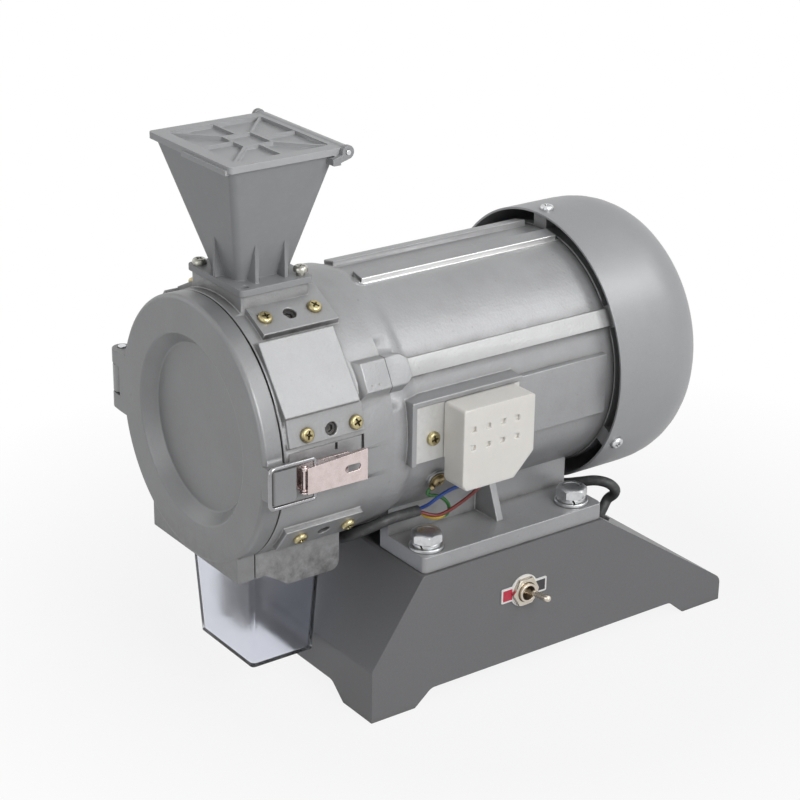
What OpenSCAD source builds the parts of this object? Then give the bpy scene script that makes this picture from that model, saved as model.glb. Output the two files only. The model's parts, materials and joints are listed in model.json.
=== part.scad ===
// Tabletop electric grain mill: a foot-mounted motor that drives a beater drum with a hinged door,
// a hopper above it and a clear sample box below it, on a sheet steel base.
// The origin is on the worktop under the middle of the base. +Y runs from the door to the fan.

/* [Base] */
// Length of the base, front to back
base_l = 280; // [260:1:310]
// Width of the base
base_w = 169; // [164:1:190]
// Height of the base
base_h = 87; // [80:1:100]
// Thickness of the base sheet
base_wall = 3; // [2.5:0.5:4]
// Height of the upright strip at the front of the base
base_front_h = 34; // [26:1:44]
// Height of the upright strip at the back of the base
base_back_h = 16; // [14:1:30]
// Distance from the front of the base to its flat top
base_top_inset = 36.6; // [30:0.1:46]
// Length of a standing foot of the base along its side
base_foot_l = 32; // [24:1:44]
// Width of a standing foot of the base across its end
base_foot_w = 30; // [24:1:40]
// Height of the notches between the standing feet
base_notch_h = 10; // [6:0.5:12]

/* [Motor] */
// Height of the shaft above the motor feet
shaft_h = 88.7; // [84:0.1:100]
// Thickness of a motor foot
foot_t = 10.7; // [8:0.1:14]
// Outer radius of the motor frame between its bars
frame_r = 76; // [75:0.5:78]
// Inner radius of the motor frame, which holds the stator
stator_r = 71; // [68:0.5:72]
// Length of the motor frame from the drum to the rear shield
frame_l = 166; // [156:1:176]
// Radius of the motor rotor
rotor_r = 41.5; // [36:0.5:46]
// Radius of the fan cover
cover_r = 87; // [85:0.5:92]
// Length of the fan cover without its domed end
cover_l = 76.5; // [66:0.5:90]

/* [Drum] */
// Outer radius of the drum and its door
drum_r = 79.3; // [78.5:0.1:82]
// Length of the drum casting
drum_l = 74; // [70:1:82]
// Radius of the beating chamber
chamber_r = 72; // [70:0.5:73]
// Depth of the beating chamber
chamber_l = 62; // [58:1:64]
// Thickness of the door
door_t = 12.4; // [11:0.1:15]
// Radius of the dish in the door where it meets the face
dish_r = 57; // [48:1:64]
// Depth of the dish in the door
dish_depth = 8; // [5:0.5:9]
// Radius of the beater tips
beater_r = 62; // [56:0.5:63.5]
// Spacing of the two screws of a liner
liner_pitch = 32.5; // [28:0.5:36]

/* [Hopper] */
// Width of the hopper lid
lid_w = 87; // [80:1:96]
// Depth of the hopper lid
lid_l = 77; // [72:1:84]
// Thickness of the hopper lid
lid_t = 4; // [3.5:0.1:5]
// Height of the hopper from its flange to its rim
hopper_h = 75.9; // [60:0.1:90]
// Width of the hopper flange
flange_w = 59; // [56:1:64]
// Depth of the hopper flange
flange_l = 48; // [46:1:54]
// Wall of the hopper
hopper_wall = 2.2; // [1.8:0.1:3]

/* [Sample box] */
// Width of the floor of the sample box
box_w = 59; // [50:1:64]
// Depth of the floor of the sample box
box_l = 43.4; // [38:0.1:46]
// Height of the sample box
box_h = 72; // [64:1:76]
// Wall of the sample box
box_wall = 1.8; // [1.4:0.1:2.4]

/* [Latch] */
// Length of the latch lever
lever_l = 40; // [34:1:44]
// Width of the latch lever at its hinge
lever_w = 15.8; // [14:0.1:18]
// Diameter of the bail wire
bail_d = 2.4; // [2:0.1:3]

/* [Switch] */
// Width across the flats of the switch nut
switch_nut_af = 17; // [15:0.5:19]
// Length of the switch lever from its pivot to its tip
toggle_l = 22.4; // [18:0.1:26]
// Lean of the switch lever from square
toggle_lean = 14.5; // [8:0.5:16]

/* [Hidden] */
$fn = 72;

// Shared small sizes
over = 1; // how far a cut runs past what it cuts
gap = 0.3; // running gap between pieces of different bodies
fit = 0.05; // radial clearance of a pin or shaft in its bore
seat = 0.1; // radial clearance of a still piece in its seat
edge_r = 3; // usual rounding of a casting edge

// Places along the base and the motor
half_l = base_l / 2;
half_w = base_w / 2;
top_y0 = -half_l + base_top_inset;
foot_lead = 1.4;
foot_edge = 1.6; // from the side of the base to the motor foot
foot_w = base_w - 2 * foot_edge;
bolt_edge = 14; // from the side of the base to the foot bolts
foot_bolt_w = base_w - 2 * bolt_edge;
pedestal_gap = 24.5; // from the foot bolts to the pedestal between the feet
pedestal_w = foot_bolt_w - 2 * pedestal_gap;
frame_nose = 20;
frame_tail = 10;
foot_l = frame_l - frame_nose - frame_tail;
bolt_end = 12.5; // from the ends of a motor foot to its bolts
foot_bolt_l = foot_l - 2 * bolt_end;
foot_y0 = top_y0 + foot_lead;
foot_y1 = foot_y0 + foot_l;
foot_mid = (foot_y0 + foot_y1) / 2;
bolt_mid = foot_mid - 1.5 * foot_lead;
frame_y0 = foot_y0 - frame_nose;
frame_y1 = frame_y0 + frame_l;
axis_z = base_h + shaft_h;
drum_y0 = frame_y0 - drum_l;
chamber_y1 = drum_y0 + chamber_l;
door_gap = 0.8;
door_y1 = drum_y0 - door_gap;
door_y0 = door_y1 - door_t;

// Base details
base_notch_run = 12;
base_crease_r = 3;
base_nose_r = 7;
slope_a = atan((base_h - base_back_h) / (half_l - foot_y1));
slope_y = foot_y1;

// Hex bolts of the motor feet
bolt_r = 5;
bolt_af = 17;
bolt_head_h = 6.4;
bolt_l = 32;
washer_r = 10.5;
washer_t = 2;
spring_washer_r = 8.8;
spring_washer_t = 2.4;
nut_h = 8;

// Motor details
frame_wall = frame_r - stator_r;
bar_w = 10;
bar_h = 4;
bar_r = frame_r + bar_h;
tie_angles = [29, 151, 270];
top_bar_angles = [79, 101];
tie_circle_r = frame_r + 0.1 * bar_h;
tie_r = 3;
lug_w = 25;
lug_top_w = 17;
lug_r = drum_r + 3.8;
lug_front_l = 22;
lug_slope_l = 5.5;
lug_back_l = 15;
lug_taper = 9;
tie_depth = 11.5;
bar_start = 18;
parting = 0.3; // open joint between the two halves of a tie bolt lug
collar_l = 10;
pedestal_wall = 8;
gusset_t = 5;
gusset_reach = 21.7;
gusset_h = 28;
winding_r0 = rotor_r + 6;
winding_r1 = stator_r - 5;
winding_l = 22;
stator_front = 37;
stator_back = 39;
stator_y0 = frame_y0 + stator_front;
stator_y1 = frame_y1 - stator_back;
end_ring_l = 8;
air_gap = 0.5;

// Shaft, bearings and rear shield
journal_r = 10;
journal_rear_r = 8.5;
core_shaft_r = 13;
bearing_front_r = 23.5;
bearing_front_t = 14;
bearing_rear_r = 20;
bearing_rear_t = 12;
bearing_front_y = chamber_y1 + 8;
seal_t = 6;
seal_r = 17;
shield_t = 12;
shield_r = frame_r + 1;
shield_lug_w = 14;
shield_y1 = frame_y1 + shield_t;
bearing_rear_y = frame_y1 - 4;
shaft_tip_l = 26;
shaft_thread_l = 12;
shaft_shoulder = 6;
shaft_y0 = chamber_y1 - shaft_tip_l;
fan_y0 = shield_y1 + 8;
fan_l = 24;
fan_r = 68;
fan_hub_r = 16;
fan_plate_t = 3;
blade_t = 2;
fan_blades = 7;
shaft_y1 = fan_y0 + fan_l - 4;

// Fan cover
cover_wall = 1.5;
cover_y0 = frame_y1 - 3.5;
cover_y1 = cover_y0 + cover_l;
cover_round_l = 38;
cover_flat_r = 56;
cover_dome = 2.5;
cover_lip = 3;
cover_screw_angles = [90, 210, 330];
cover_screw_inset = 6;
vent_w = 5;
vent_rows = [[18, 8], [30, 14], [42, 20]];
vent_l = 8;

// Drum details
hopper_inset = 28.5;
hopper_y = drum_y0 + hopper_inset;
liner_inset = 31.2;
liner_shifts = [0, 0, 3.8];
liner_ys = [for (s = liner_shifts) drum_y0 + liner_inset + s];
boss_sink = 2; // how far a boss starts inside the skin it stands on
pad_angles = [63.3, 13.3, -37.5];
pad_lows = [11.4, 5.5, 10];
pad_highs = [20.9, 11.5, 10];
pad_starts = [8, 3, 6];
pad_ends = [58, 53, 58];
pad_heights = [3.2, 1.4, 3.2];
pad_face_rs = [for (h = pad_heights) drum_r + h];
plate_a = 37;
plate_w = 45;
plate_h = 1.7;
plate_start = 1.5;
plate_end = 51;
latch_pad_w = 28;
latch_z = axis_z - 3.9;
latch_pad_x = drum_r + 0.2;
latch_pad_y0 = drum_y0 + pad_starts[1];
latch_pad_y1 = drum_y0 + pad_ends[1];
latch_slot_w = 1.8;
latch_slot_sink = 2.5;
latch_slot_hs = [9, 4.2];
latch_slot_zs = [14.2, 13.8];
latch_slot_backs = [0, 18.2];
screw_head_r = 4.3;
screw_head_h = 2.6;
screw_r = 2.4;
set_screw_r = 3.7;
set_screw_sink = 2.2;
set_socket_af = 4;
set_socket_l = 3;
liner_t = 5;
tooth_depth = 1.6;
tooth_step = 4;
liner_spans = [[41, 78.5], [-13.5, 40], [-53, -14.5]];
screen_t = 1.2;
screen_span = [-125.5, -54.5];
screen_hole_r = 2;
screen_rows = 6;
screen_columns = 9;
inlet_w = 25;
inlet_l = 28;
inlet_pad_top = drum_r + 6;
inlet_pad_inset = 1.5;
chute_w = 95.2;
chute_l = 58;
chute_drop = 9.5;
chute_step_l = 22;
box_flare_w = 4.5;
box_flare_l = 3.5;
box_gap = 0.3;
chute_ledge = 2.5;
box_y = drum_y0 + 29.8;
box_z1 = axis_z - chamber_r - 4.5;
box_z0 = box_z1 - box_h;
box_corner_r = 2.5;
door_foot_h = 17;

// Beater rotor
disc_t = 6;
disc_r = 34;
disc_y1 = chamber_y1 - 4;
arm_count = 6;
arm_w = 12;
arm_t = 8;
arm_r = 50;
blade_w = 16;
blade_l = 44;
blade_plate_t = 5;
blade_r0 = 37;
rotor_hub_r = 18;
tip_thread_r = 8;
cap_nut_af = 24;
cap_nut_h = 10;

// Door, hinge and latch
hinge_x = -89;
ear_r = door_t / 2;
hinge_y = (door_y0 + door_y1) / 2;
hinge_top = axis_z + 21;
hinge_bottom = axis_z - 17.2;
knuckle_z0 = axis_z - 7;
knuckle_z1 = axis_z + 11.3;
hinge_pin_r = 2.5;
keeper_x = drum_r + 8.7;
keeper_h = 20;
keeper_back = 3.3;
gasket_r0 = 73.2;
gasket_r1 = 76.2;
gasket_t = 2;
pivot_x = drum_r + 6.5;
pivot_y = drum_y0 + 8.5;
pivot_r = 1.5;
ear_w = lever_w - 2.6;
ear_t = 1;
lever_t = 1.2;
lever_x = pivot_x + 2.6;
lever_nose_r = 2.8;
lever_rise = 2.3; // how far the upper edge of the lever climbs along it
lever_sink = 0.6;
lever_lip = 2.2; // depth of the folded edges at the tail of the lever
bail_x = pivot_x + 1.5;
bail_y = pivot_y + 6;
bail_r = bail_d / 2;
bail_w = lever_w + 8.2;
bail_front_y = door_y0 - bail_r - gap;
bail_bend_r = 3;
latch_plate_t = 1.2;
latch_plate_l = 33;

// Hopper
inlet_top_z = axis_z + inlet_pad_top;
flange_t = 4;
flange_screw_inset = 5.4;
neck_w = 31;
neck_l = 35;
neck_h = 5;
rim_inset = 2.5;
rim_back = 5.4;
rim_z = inlet_top_z + hopper_h;
rim_r = 4;
barrel_r = 3;
barrel_rise = 0.7;
lid_pin_r = 1.5;
lid_pin_inset = 3.2;
lid_z0 = rim_z + gap;
lid_z1 = lid_z0 + lid_t;
lid_y1 = hopper_y + lid_l / 2;
lid_pin_y = lid_y1 - lid_pin_inset;
lid_pin_z = lid_z1 - barrel_r + barrel_rise;
lid_ear_l = 3;
lid_ear_wall = 0.9;
lid_ear_root_l = 5;
lid_ear_root_h = 4.5;
lid_recess = 2.4;
lid_frame_w = 8;
lid_rib_t = 1.8;
lid_rib_drop = 0.3;
lid_ring_w = 25;
lid_ring_l = 20;
lid_corner_r = 2.5;
fin_t = 2.6;
fin_reach = 23.5;
fin_offset = 9.7;
lip_t = 1.4;
lip_h = 2.2;
lip_start_share = 0.44;
hopper_screw_l = 12;

// Terminal block and wires
terminal_x = frame_r + 5;
terminal_y0 = frame_y0 + 9;
terminal_l = 79;
terminal_y1 = terminal_y0 + terminal_l;
terminal_z0 = axis_z - 17;
terminal_z1 = axis_z + 22.6;
terminal_plate_t = 1.5;
terminal_rim = 3;
block_y0 = frame_y0 + 32;
block_y1 = block_y0 + 51;
block_x1 = terminal_x + 21;
block_z0 = axis_z - 31;
block_z1 = axis_z + 19;
block_chamfer = 14;
cell_w = 3.6;
cell_pitch = 10.5;
cell_rows_z = [-8.7, 2.8];
cell_first = 7;
terminal_screw_z = axis_z - 2.4;
terminal_screw_l = 6;
terminal_screw_y = terminal_y0 + 15.5;
earth_a = -28;
earth_y = frame_y0 + 38.5;
earth_lug_a = 37;
earth_lug_l = 6.5;
earth_lug_t = 1;
earth_boss_r = 6;
earth_face_r = frame_r + 2;
wire_d = 2.2;
lead_d = 6.6;
lead_r = lead_d / 2;
wire_r = wire_d / 2;

// Switch, gland and capacitor
switch_y = foot_mid + 6.4;
switch_z = 56.2;
bushing_r = 6;
bushing_bore_r = 4.6;
bushing_l = 9.5;
toggle_ball_r = 4.2;
toggle_pivot_x = half_w - 2.5;
toggle_r0 = 1.6;
toggle_r1 = 2.3;
switch_nut_t = 2.8;
label_t = 0.8;
label_l = 35;
label_h = 13;
label_disc_r = 10.5;
body_size = [18, 29, 18];
grommet_r = 7;
grommet_t = 6;
grommet_back = 22;
grommet_y = foot_y1 + grommet_back;
grommet_edge = 28.5;
grommet_x = half_w - grommet_edge;
gland_y = 88;
gland_z = 27;
gland_r = 8;
gland_bore_r = 3.6;
gland_l = 16;
capacitor_r = 20;
capacitor_l = 72;
capacitor_x = -36;
capacitor_y = foot_mid;
capacitor_z = base_h - base_wall - capacitor_r - 1;
clip_t = 1.2;
clip_w = 14;

// Routes of the wires and of the motor lead, chosen by hand from the places they belong to
function placed(place, points) = [for (p = points) place + p];
function off_slope(d) = [grommet_x, grommet_y + d * sin(slope_a),
    base_h - grommet_back * tan(slope_a) + d * cos(slope_a)];
at_terminal = [0, frame_y0, axis_z];
before_feet = [0, foot_y0, base_h];
behind_feet = [0, foot_y1, base_h];
over_grommet = [grommet_x, grommet_y, base_h];
behind_capacitor = [capacitor_x, capacitor_y + capacitor_l / 2, capacitor_z];
lead_route = concat(
    placed(at_terminal, [[59.5, 32, -59.2], [59.5, 22, -59.1], [58.5, 14, -59.7], [57, 6.5, -61.5],
        [52.5, 0, -65.3], [45.5, -4.5, -70.5]]),
    placed(before_feet, [[37, -25.5, 13.2], [29, -22.5, 9.2], [23, -16.5, 6], [19.5, -8.5, 4.6],
        [18, 1, 4], [18, 18, 4], [18, 44, 4]]),
    placed(behind_feet, [[18, -62, 4], [18, -34, 4], [19, -14, 4], [22, -2, 4], [29, 3.5, 3.8]]),
    placed(over_grommet, [[-18.5, -13.5, 4.6], [-10, -8.5, 7.4], [-2, -3, 10], [4, 2.5, 9],
        [6, 7, 4.5], [3.5, 8.6, -0.5]]),
    [for (d = [12, 6, 0, -6]) off_slope(d)],
    placed(over_grommet, [[-3.5, -9, -25.5], [-12, -17, -30], [-26, -23, -31]]),
    placed(behind_capacitor, [[48, 28, -6], [28, 27, -4], [12, 23, -2], [3, 15, -0.4], [0, 6, 0],
        [0, 0.3, 0]]));
blue_route = placed(at_terminal, [[60.6, 32.2, -57.5], [60.6, 33.4, -57.5], [63, 34.6, -55.7],
    [66.8, 34.7, -52.8], [71.4, 36, -48.1], [76.5, 38.3, -42.9], [82, 41, -38.1],
    [86.8, 43.6, -34.7], [88, 44.6, -31.2]]);
brown_route = placed(at_terminal, [[61.2, 32.2, -60.3], [61.2, 33.8, -60.3], [63.2, 38.5, -62.3],
    [65.8, 43, -62.5], [68.4, 48.6, -59.9], [71.4, 53.4, -55.7], [75.6, 56.4, -50.7],
    [80, 58.5, -45.2], [84, 60.8, -38.7], [86, 62, -31.2]]);
earth_route = placed(at_terminal, [[68.1, 34.3, -42.5], [67.4, 33.2, -43.8], [66.8, 33.4, -45.9],
    [66.4, 36, -47.7], [66.2, 40.4, -49.1], [66, 45, -51.9], [65.8, 48.6, -55.7], [65, 50.8, -59.7],
    [63.6, 51.3, -63.4], [62.4, 50, -65.9], [61.4, 45.5, -66.6], [60.3, 40.5, -65.5],
    [59, 36.4, -63.3], [58.2, 33.8, -60.7], [58.2, 32.2, -60.7]]);

// Outline helpers
function unit(v) = v / norm(v);
function right_of(v) = [v[1], -v[0]];
function arc_points(mid, r, from, turn, n) =
    [for (i = [0:n]) mid + r * [cos(from + turn * i / n), sin(from + turn * i / n)]];
function round_corner(a, b, c, r, n) =
    let (u = unit(a - b), w = unit(c - b), half = acos(u * w) / 2,
        mid = b + unit(u + w) * r / sin(half),
        from = b + u * r / tan(half) - mid, to = b + w * r / tan(half) - mid,
        a0 = atan2(from[1], from[0]), d = atan2(to[1], to[0]) - a0,
        turn = d > 180 ? d - 360 : d < -180 ? d + 360 : d)
    arc_points(mid, r, a0, turn, n);
function rounded(points, radii, n = 6) =
    let (m = len(points))
    [for (i = [0:m - 1]) each radii[i] <= 0 ? [points[i]] :
        round_corner(points[(i + m - 1) % m], points[i], points[(i + 1) % m], radii[i], n)];
function inset(points, d) =
    let (m = len(points))
    [for (i = [0:m - 1])
        let (p = right_of(unit(points[i] - points[(i + m - 1) % m])),
            q = right_of(unit(points[(i + 1) % m] - points[i])))
        points[i] + (p + q) * d / (1 + p * q)];

// Extrudes a profile drawn in X and Z from y0 to y1
module span_y(y0, y1) {
    translate([0, y1, 0]) rotate([90, 0, 0]) linear_extrude(y1 - y0) children();
}

// Extrudes a profile drawn in Y and Z from x0 to x1
module span_x(x0, x1) {
    translate([x0, 0, 0]) rotate([90, 0, 90]) linear_extrude(x1 - x0) children();
}

// Turns a profile drawn in radius and Y about the motor shaft
module about_shaft() {
    translate([0, 0, axis_z]) rotate([-90, 0, 0]) rotate_extrude() children();
}

// A round bar along the shaft axis
module shaft_bar(r, y0, y1) {
    translate([0, y0, axis_z]) rotate([-90, 0, 0]) cylinder(r = r, h = y1 - y0);
}

// Places children with X pointing away from the shaft at angle a above the +X side
module at_angle(a) {
    translate([0, 0, axis_z]) rotate([0, -a, 0]) children();
}

// A round bar along X between x0 and x1
module bar_x(r, x0, x1) {
    translate([x0, 0, 0]) rotate([0, 90, 0]) cylinder(r = r, h = x1 - x0);
}

module box_from(a, b) {
    translate(a) cube(b - a);
}

// A hexagonal prism along Z, sized across its flats
module hex(af, h) {
    cylinder(d = af / cos(30), h = h, $fn = 6);
}

// A pan head screw pointing down: head above z = 0, shank below, cross recess in the head
module pan_screw(head_r, head_h, r, l) {
    difference() {
        union() {
            rotate_extrude() polygon(concat([[0, 0], [head_r, 0], [head_r, 0.35 * head_h]],
                [for (i = [1:4]) [head_r * cos(20 * i), head_h * (0.35 + 0.65 * sin(20 * i))]],
                [[0, head_h]]));
            translate([0, 0, -l]) cylinder(r = r, h = l + over / 10);
        }
        for (a = [0, 90]) rotate(a)
            translate([-0.55 * head_r, -0.13 * head_r, 0.45 * head_h])
                cube([1.1 * head_r, 0.26 * head_r, head_h]);
    }
}

// A slab with rounded upright edges
module round_slab(w, l, h, r) {
    translate([-w / 2, -l / 2, 0]) linear_extrude(h)
        polygon(rounded([[0, 0], [w, 0], [w, l], [0, l]], [r, r, r, r], 5));
}

// Sweeps a round tube along points given in space
function cross3(a, b) = [a[1] * b[2] - a[2] * b[1], a[2] * b[0] - a[0] * b[2], a[0] * b[1] - a[1] * b[0]];
function spline_point(p0, p1, p2, p3, t) =
    0.5 * (2 * p1 + (p2 - p0) * t + (2 * p0 - 5 * p1 + 4 * p2 - p3) * t * t
        + (3 * p1 - p0 - 3 * p2 + p3) * t * t * t);
function smooth_route(p, n) =
    let (m = len(p) - 1)
    concat([for (i = [0:m - 1]) for (k = [0:n - 1])
        spline_point(p[max(i - 1, 0)], p[i], p[i + 1], p[min(i + 2, m)], k / n)], [p[m]]);
function route_dir(p, i) = unit(p[min(i + 1, len(p) - 1)] - p[max(i - 1, 0)]);
function carried(n, d) = unit(n - (n * d) * d);
function side_dirs(p, i = 0, last = [0.1, 0.2, 1], out = []) =
    i == len(p) ? out :
    let (n = carried(last, route_dir(p, i))) side_dirs(p, i + 1, n, concat(out, [n]));

module tube(points, r, sides) {
    n = side_dirs(points);
    rings = [for (i = [0:len(points) - 1])
        let (u = n[i], w = cross3(route_dir(points, i), u))
        for (k = [0:sides - 1]) points[i] + r * (cos(360 * k / sides) * u + sin(360 * k / sides) * w)];
    last = len(points) - 1;
    ends = [points[0], points[last]];
    m = len(rings);
    walls = [for (i = [0:last - 1]) for (k = [0:sides - 1])
        let (a = i * sides + k, b = i * sides + (k + 1) % sides)
        each [[a, a + sides, b], [b, a + sides, b + sides]]];
    caps = [for (k = [0:sides - 1])
        each [[m, k, (k + 1) % sides],
            [m + 1, last * sides + (k + 1) % sides, last * sides + k]]];
    polyhedron(concat(rings, ends), concat(walls, caps));
}

// Base

function base_outline() = [[-half_l, 0], [-half_l, base_front_h], [top_y0, base_h],
    [foot_y1, base_h], [half_l, base_back_h], [half_l, 0]];
base_radii = [0, base_crease_r, base_crease_r, base_crease_r, base_nose_r, 0];
function hollow_outline() = inset([for (p = base_outline()) p[1] > 0 ? p : [p[0], -base_wall - over]],
    base_wall);

module foot_notch(half, foot, depth) {
    polygon(rounded([[-half + foot - depth * base_notch_run / base_notch_h, -depth], [-half + foot, 0],
        [-half + foot + base_notch_run, base_notch_h], [half - foot - base_notch_run, base_notch_h],
        [half - foot, 0], [half - foot + depth * base_notch_run / base_notch_h, -depth]],
        [0, 0, base_nose_r, base_nose_r, 0, 0]));
}

// Places children at a hole through the rear slope, with Z square to the sheet
module on_rear_slope(x, y) {
    translate([x, y, base_h - (y - slope_y) * tan(slope_a)]) rotate([-slope_a, 0, 0]) children();
}

module base_shell() {
    color("#6c6d6f") difference() {
        span_x(-half_w, half_w) polygon(rounded(base_outline(), base_radii));
        span_x(-half_w + base_wall, half_w - base_wall)
            polygon(rounded(hollow_outline(), [for (r = base_radii) max(r - base_wall, 0)]));
        span_x(-half_w - over, half_w + over) foot_notch(half_l, base_foot_l, over);
        span_y(-half_l - over, half_l + over) foot_notch(half_w, base_foot_w, over);
        for (x = [-1, 1], y = [-1, 1])
            translate([x * foot_bolt_w / 2, bolt_mid + y * foot_bolt_l / 2, base_h - 2 * base_wall])
                cylinder(r = bolt_r + seat, h = 3 * base_wall);
        translate([0, switch_y, switch_z]) bar_x(bushing_r + seat, half_w - 2 * base_wall, half_w + over);
        translate([0, gland_y, gland_z])
            bar_x(gland_r - 1.5 * base_wall / 3 + seat, -half_w - over, -half_w + 2 * base_wall);
        on_rear_slope(grommet_x, grommet_y)
            translate([0, 0, -2 * base_wall]) cylinder(r = grommet_r - 1.5 + seat, h = 3 * base_wall);
    }
}

// Motor

function frame_profile() = [[0, frame_y0], [drum_r, frame_y0], [drum_r, frame_y0 + collar_l],
    [frame_r, frame_y0 + 2 * collar_l], [frame_r, frame_y1], [0, frame_y1]];

module length_bar(a, y0, y1, w, r) {
    at_angle(a) box_from([stator_r, y0, -w / 2], [r, y1, w / 2]);
}

// The half of a tie bolt lug that a casting carries, from its parting face at y = 0. Its sides slope
module tie_lug(a, dir, l, slope_l, taper, tip_w) {
    r0 = stator_r + over;
    plan = [[0, -lug_w / 2], [l - taper, -lug_w / 2], [l, -tip_w / 2], [l, tip_w / 2],
        [l - taper, lug_w / 2], [0, lug_w / 2]];
    at_angle(a) translate([0, frame_y0 - (dir < 0 ? parting : 0), 0]) scale([1, dir, 1]) intersection() {
        span_x(r0, lug_r) polygon(plan);
        span_y(0, l) polygon([[r0, -lug_w / 2], [frame_r, -lug_w / 2], [lug_r, -lug_top_w / 2],
            [lug_r, lug_top_w / 2], [frame_r, lug_w / 2], [r0, lug_w / 2]]);
        translate([0, 0, -lug_w / 2]) linear_extrude(lug_w)
            polygon([[r0, 0], [lug_r, 0], [lug_r, l - slope_l], [frame_r, l], [r0, l]]);
    }
}

module foot_plate(side) {
    x0 = pedestal_w / 2 - pedestal_wall;
    y_span = foot_y1 - foot_y0;
    translate([0, foot_y0, base_h]) scale([side, 1, 1]) linear_extrude(foot_t)
        polygon(rounded([[x0, 0], [foot_w / 2, 0], [foot_w / 2, y_span], [x0, y_span]],
            [0, edge_r, edge_r, 0]));
}

module foot_gusset(side) {
    x0 = pedestal_w / 2 - over;
    scale([side, 1, 1]) span_y(foot_mid - gusset_t / 2, foot_mid + gusset_t / 2)
        polygon([[x0, base_h + foot_t / 2], [pedestal_w / 2 + gusset_reach, base_h + foot_t / 2],
            [pedestal_w / 2 + gusset_reach, base_h + foot_t + 1],
            [pedestal_w / 2 + gusset_reach / 2, base_h + foot_t + gusset_h], [x0, base_h + foot_t + gusset_h]]);
}

module terminal_boss() {
    z_mid = (terminal_z0 + terminal_z1) / 2;
    difference() {
        box_from([stator_r, terminal_y0, terminal_z0], [terminal_x + terminal_rim, terminal_y1, terminal_z1]);
        box_from([terminal_x, terminal_y0 + terminal_rim, terminal_z0 - over],
            [terminal_x + 2 * terminal_rim, terminal_y1 + over, terminal_z1 - terminal_rim]);
        translate([0, terminal_screw_y, terminal_screw_z])
            bar_x(screw_r + seat, stator_r, terminal_x + over);
    }
}

module motor_frame() {
    color("#b4b6b8") difference() {
        union() {
            about_shaft() polygon(frame_profile());
            for (a = top_bar_angles) length_bar(a, frame_y0 + bar_start, frame_y1 - 3, bar_w, bar_r - 0.5);
            for (a = tie_angles) length_bar(a, frame_y0 + 8, frame_y1, bar_w + 1, bar_r);
            for (a = tie_angles) tie_lug(a, 1, lug_back_l, 0, lug_taper, bar_w + 1);
            span_y(foot_y0, foot_y1)
                polygon([[-pedestal_w / 2, base_h], [pedestal_w / 2, base_h],
                    [pedestal_w / 2, axis_z - stator_r / 2], [-pedestal_w / 2, axis_z - stator_r / 2]]);
            for (s = [-1, 1]) foot_plate(s);
            for (s = [-1, 1]) foot_gusset(s);
            terminal_boss();
            at_angle(earth_a) translate([0, earth_y, 0]) bar_x(earth_boss_r, stator_r, earth_face_r);
        }
        shaft_bar(stator_r, frame_y0 - over, frame_y1 + over);
        span_y(foot_y0 - over, foot_y1 + over)
            polygon(tunnel_outline());
        for (a = tie_angles) at_angle(a) translate([tie_circle_r, frame_y0 - over, 0])
            rotate([-90, 0, 0]) cylinder(r = tie_r + seat, h = frame_l + 2 * over);
        for (x = [-1, 1], y = [-1, 1])
            translate([x * foot_bolt_w / 2, bolt_mid + y * foot_bolt_l / 2, base_h - over])
                cylinder(r = bolt_r + seat, h = foot_t + 2 * over);
        at_angle(earth_a) translate([0, earth_y, 0]) bar_x(screw_r + seat, stator_r + 1, earth_face_r + over);
    }
}

// The passage between the motor feet that the lead runs through
function tunnel_outline() =
    let (x = pedestal_w / 2 - pedestal_wall, z0 = base_h - over, r = frame_r + 0.1,
        a0 = -180 + acos(x / r), a1 = -acos(x / r), turn = 0.42 * (a1 - a0), lug = bar_w / 2 + 3)
    concat([[-x, z0]], arc_points([0, axis_z], r, a0, turn, 8),
        [[-lug, axis_z - bar_r - 1], [lug, axis_z - bar_r - 1]],
        arc_points([0, axis_z], r, a1 - turn, turn, 8), [[x, z0]]);

module foot_bolts() {
    color("#d9dbdd") for (x = [-1, 1], y = [-1, 1])
        translate([x * foot_bolt_w / 2, bolt_mid + y * foot_bolt_l / 2,
            base_h + foot_t + washer_t + spring_washer_t]) {
            intersection() {
                hex(bolt_af, bolt_head_h);
                rotate_extrude() polygon([[0, 0], [bolt_af / 2 + 1.4, 0], [bolt_af / 2 + 1.4, bolt_head_h - 1.2],
                    [bolt_af / 2 - 0.6, bolt_head_h], [0, bolt_head_h]]);
            }
            translate([0, 0, -bolt_l]) cylinder(r = bolt_r, h = bolt_l);
        }
}

module foot_washers() {
    color("#c9cbcd") for (x = [-1, 1], y = [-1, 1])
        translate([x * foot_bolt_w / 2, bolt_mid + y * foot_bolt_l / 2, base_h + foot_t]) {
            difference() {
                cylinder(r = washer_r, h = washer_t);
                translate([0, 0, -over]) cylinder(r = bolt_r + seat, h = washer_t + 2 * over);
            }
            translate([0, 0, washer_t]) difference() {
                cylinder(r = spring_washer_r, h = spring_washer_t);
                translate([0, 0, -over]) cylinder(r = bolt_r + seat, h = spring_washer_t + 2 * over);
                translate([bolt_r - over, -0.6, -over]) cube([washer_r, 1.2, spring_washer_t + 2 * over]);
            }
        }
}

module foot_nuts() {
    color("#d9dbdd") for (x = [-1, 1], y = [-1, 1])
        translate([x * foot_bolt_w / 2, bolt_mid + y * foot_bolt_l / 2, base_h - base_wall - nut_h])
            difference() {
                hex(bolt_af, nut_h);
                translate([0, 0, -over]) cylinder(r = bolt_r + seat, h = nut_h + 2 * over);
            }
}

module stator_core() {
    color("#5c6066") difference() {
        shaft_bar(stator_r - seat, stator_y0, stator_y1);
        shaft_bar(rotor_r + air_gap, stator_y0 - over, stator_y1 + over);
    }
}

module stator_winding() {
    color("#a5572b") for (y = [stator_y0 - winding_l, stator_y1])
        about_shaft() polygon(rounded([[winding_r0, y], [winding_r1, y], [winding_r1, y + winding_l],
            [winding_r0, y + winding_l]], [4, 4, 4, 4]));
}

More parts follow.
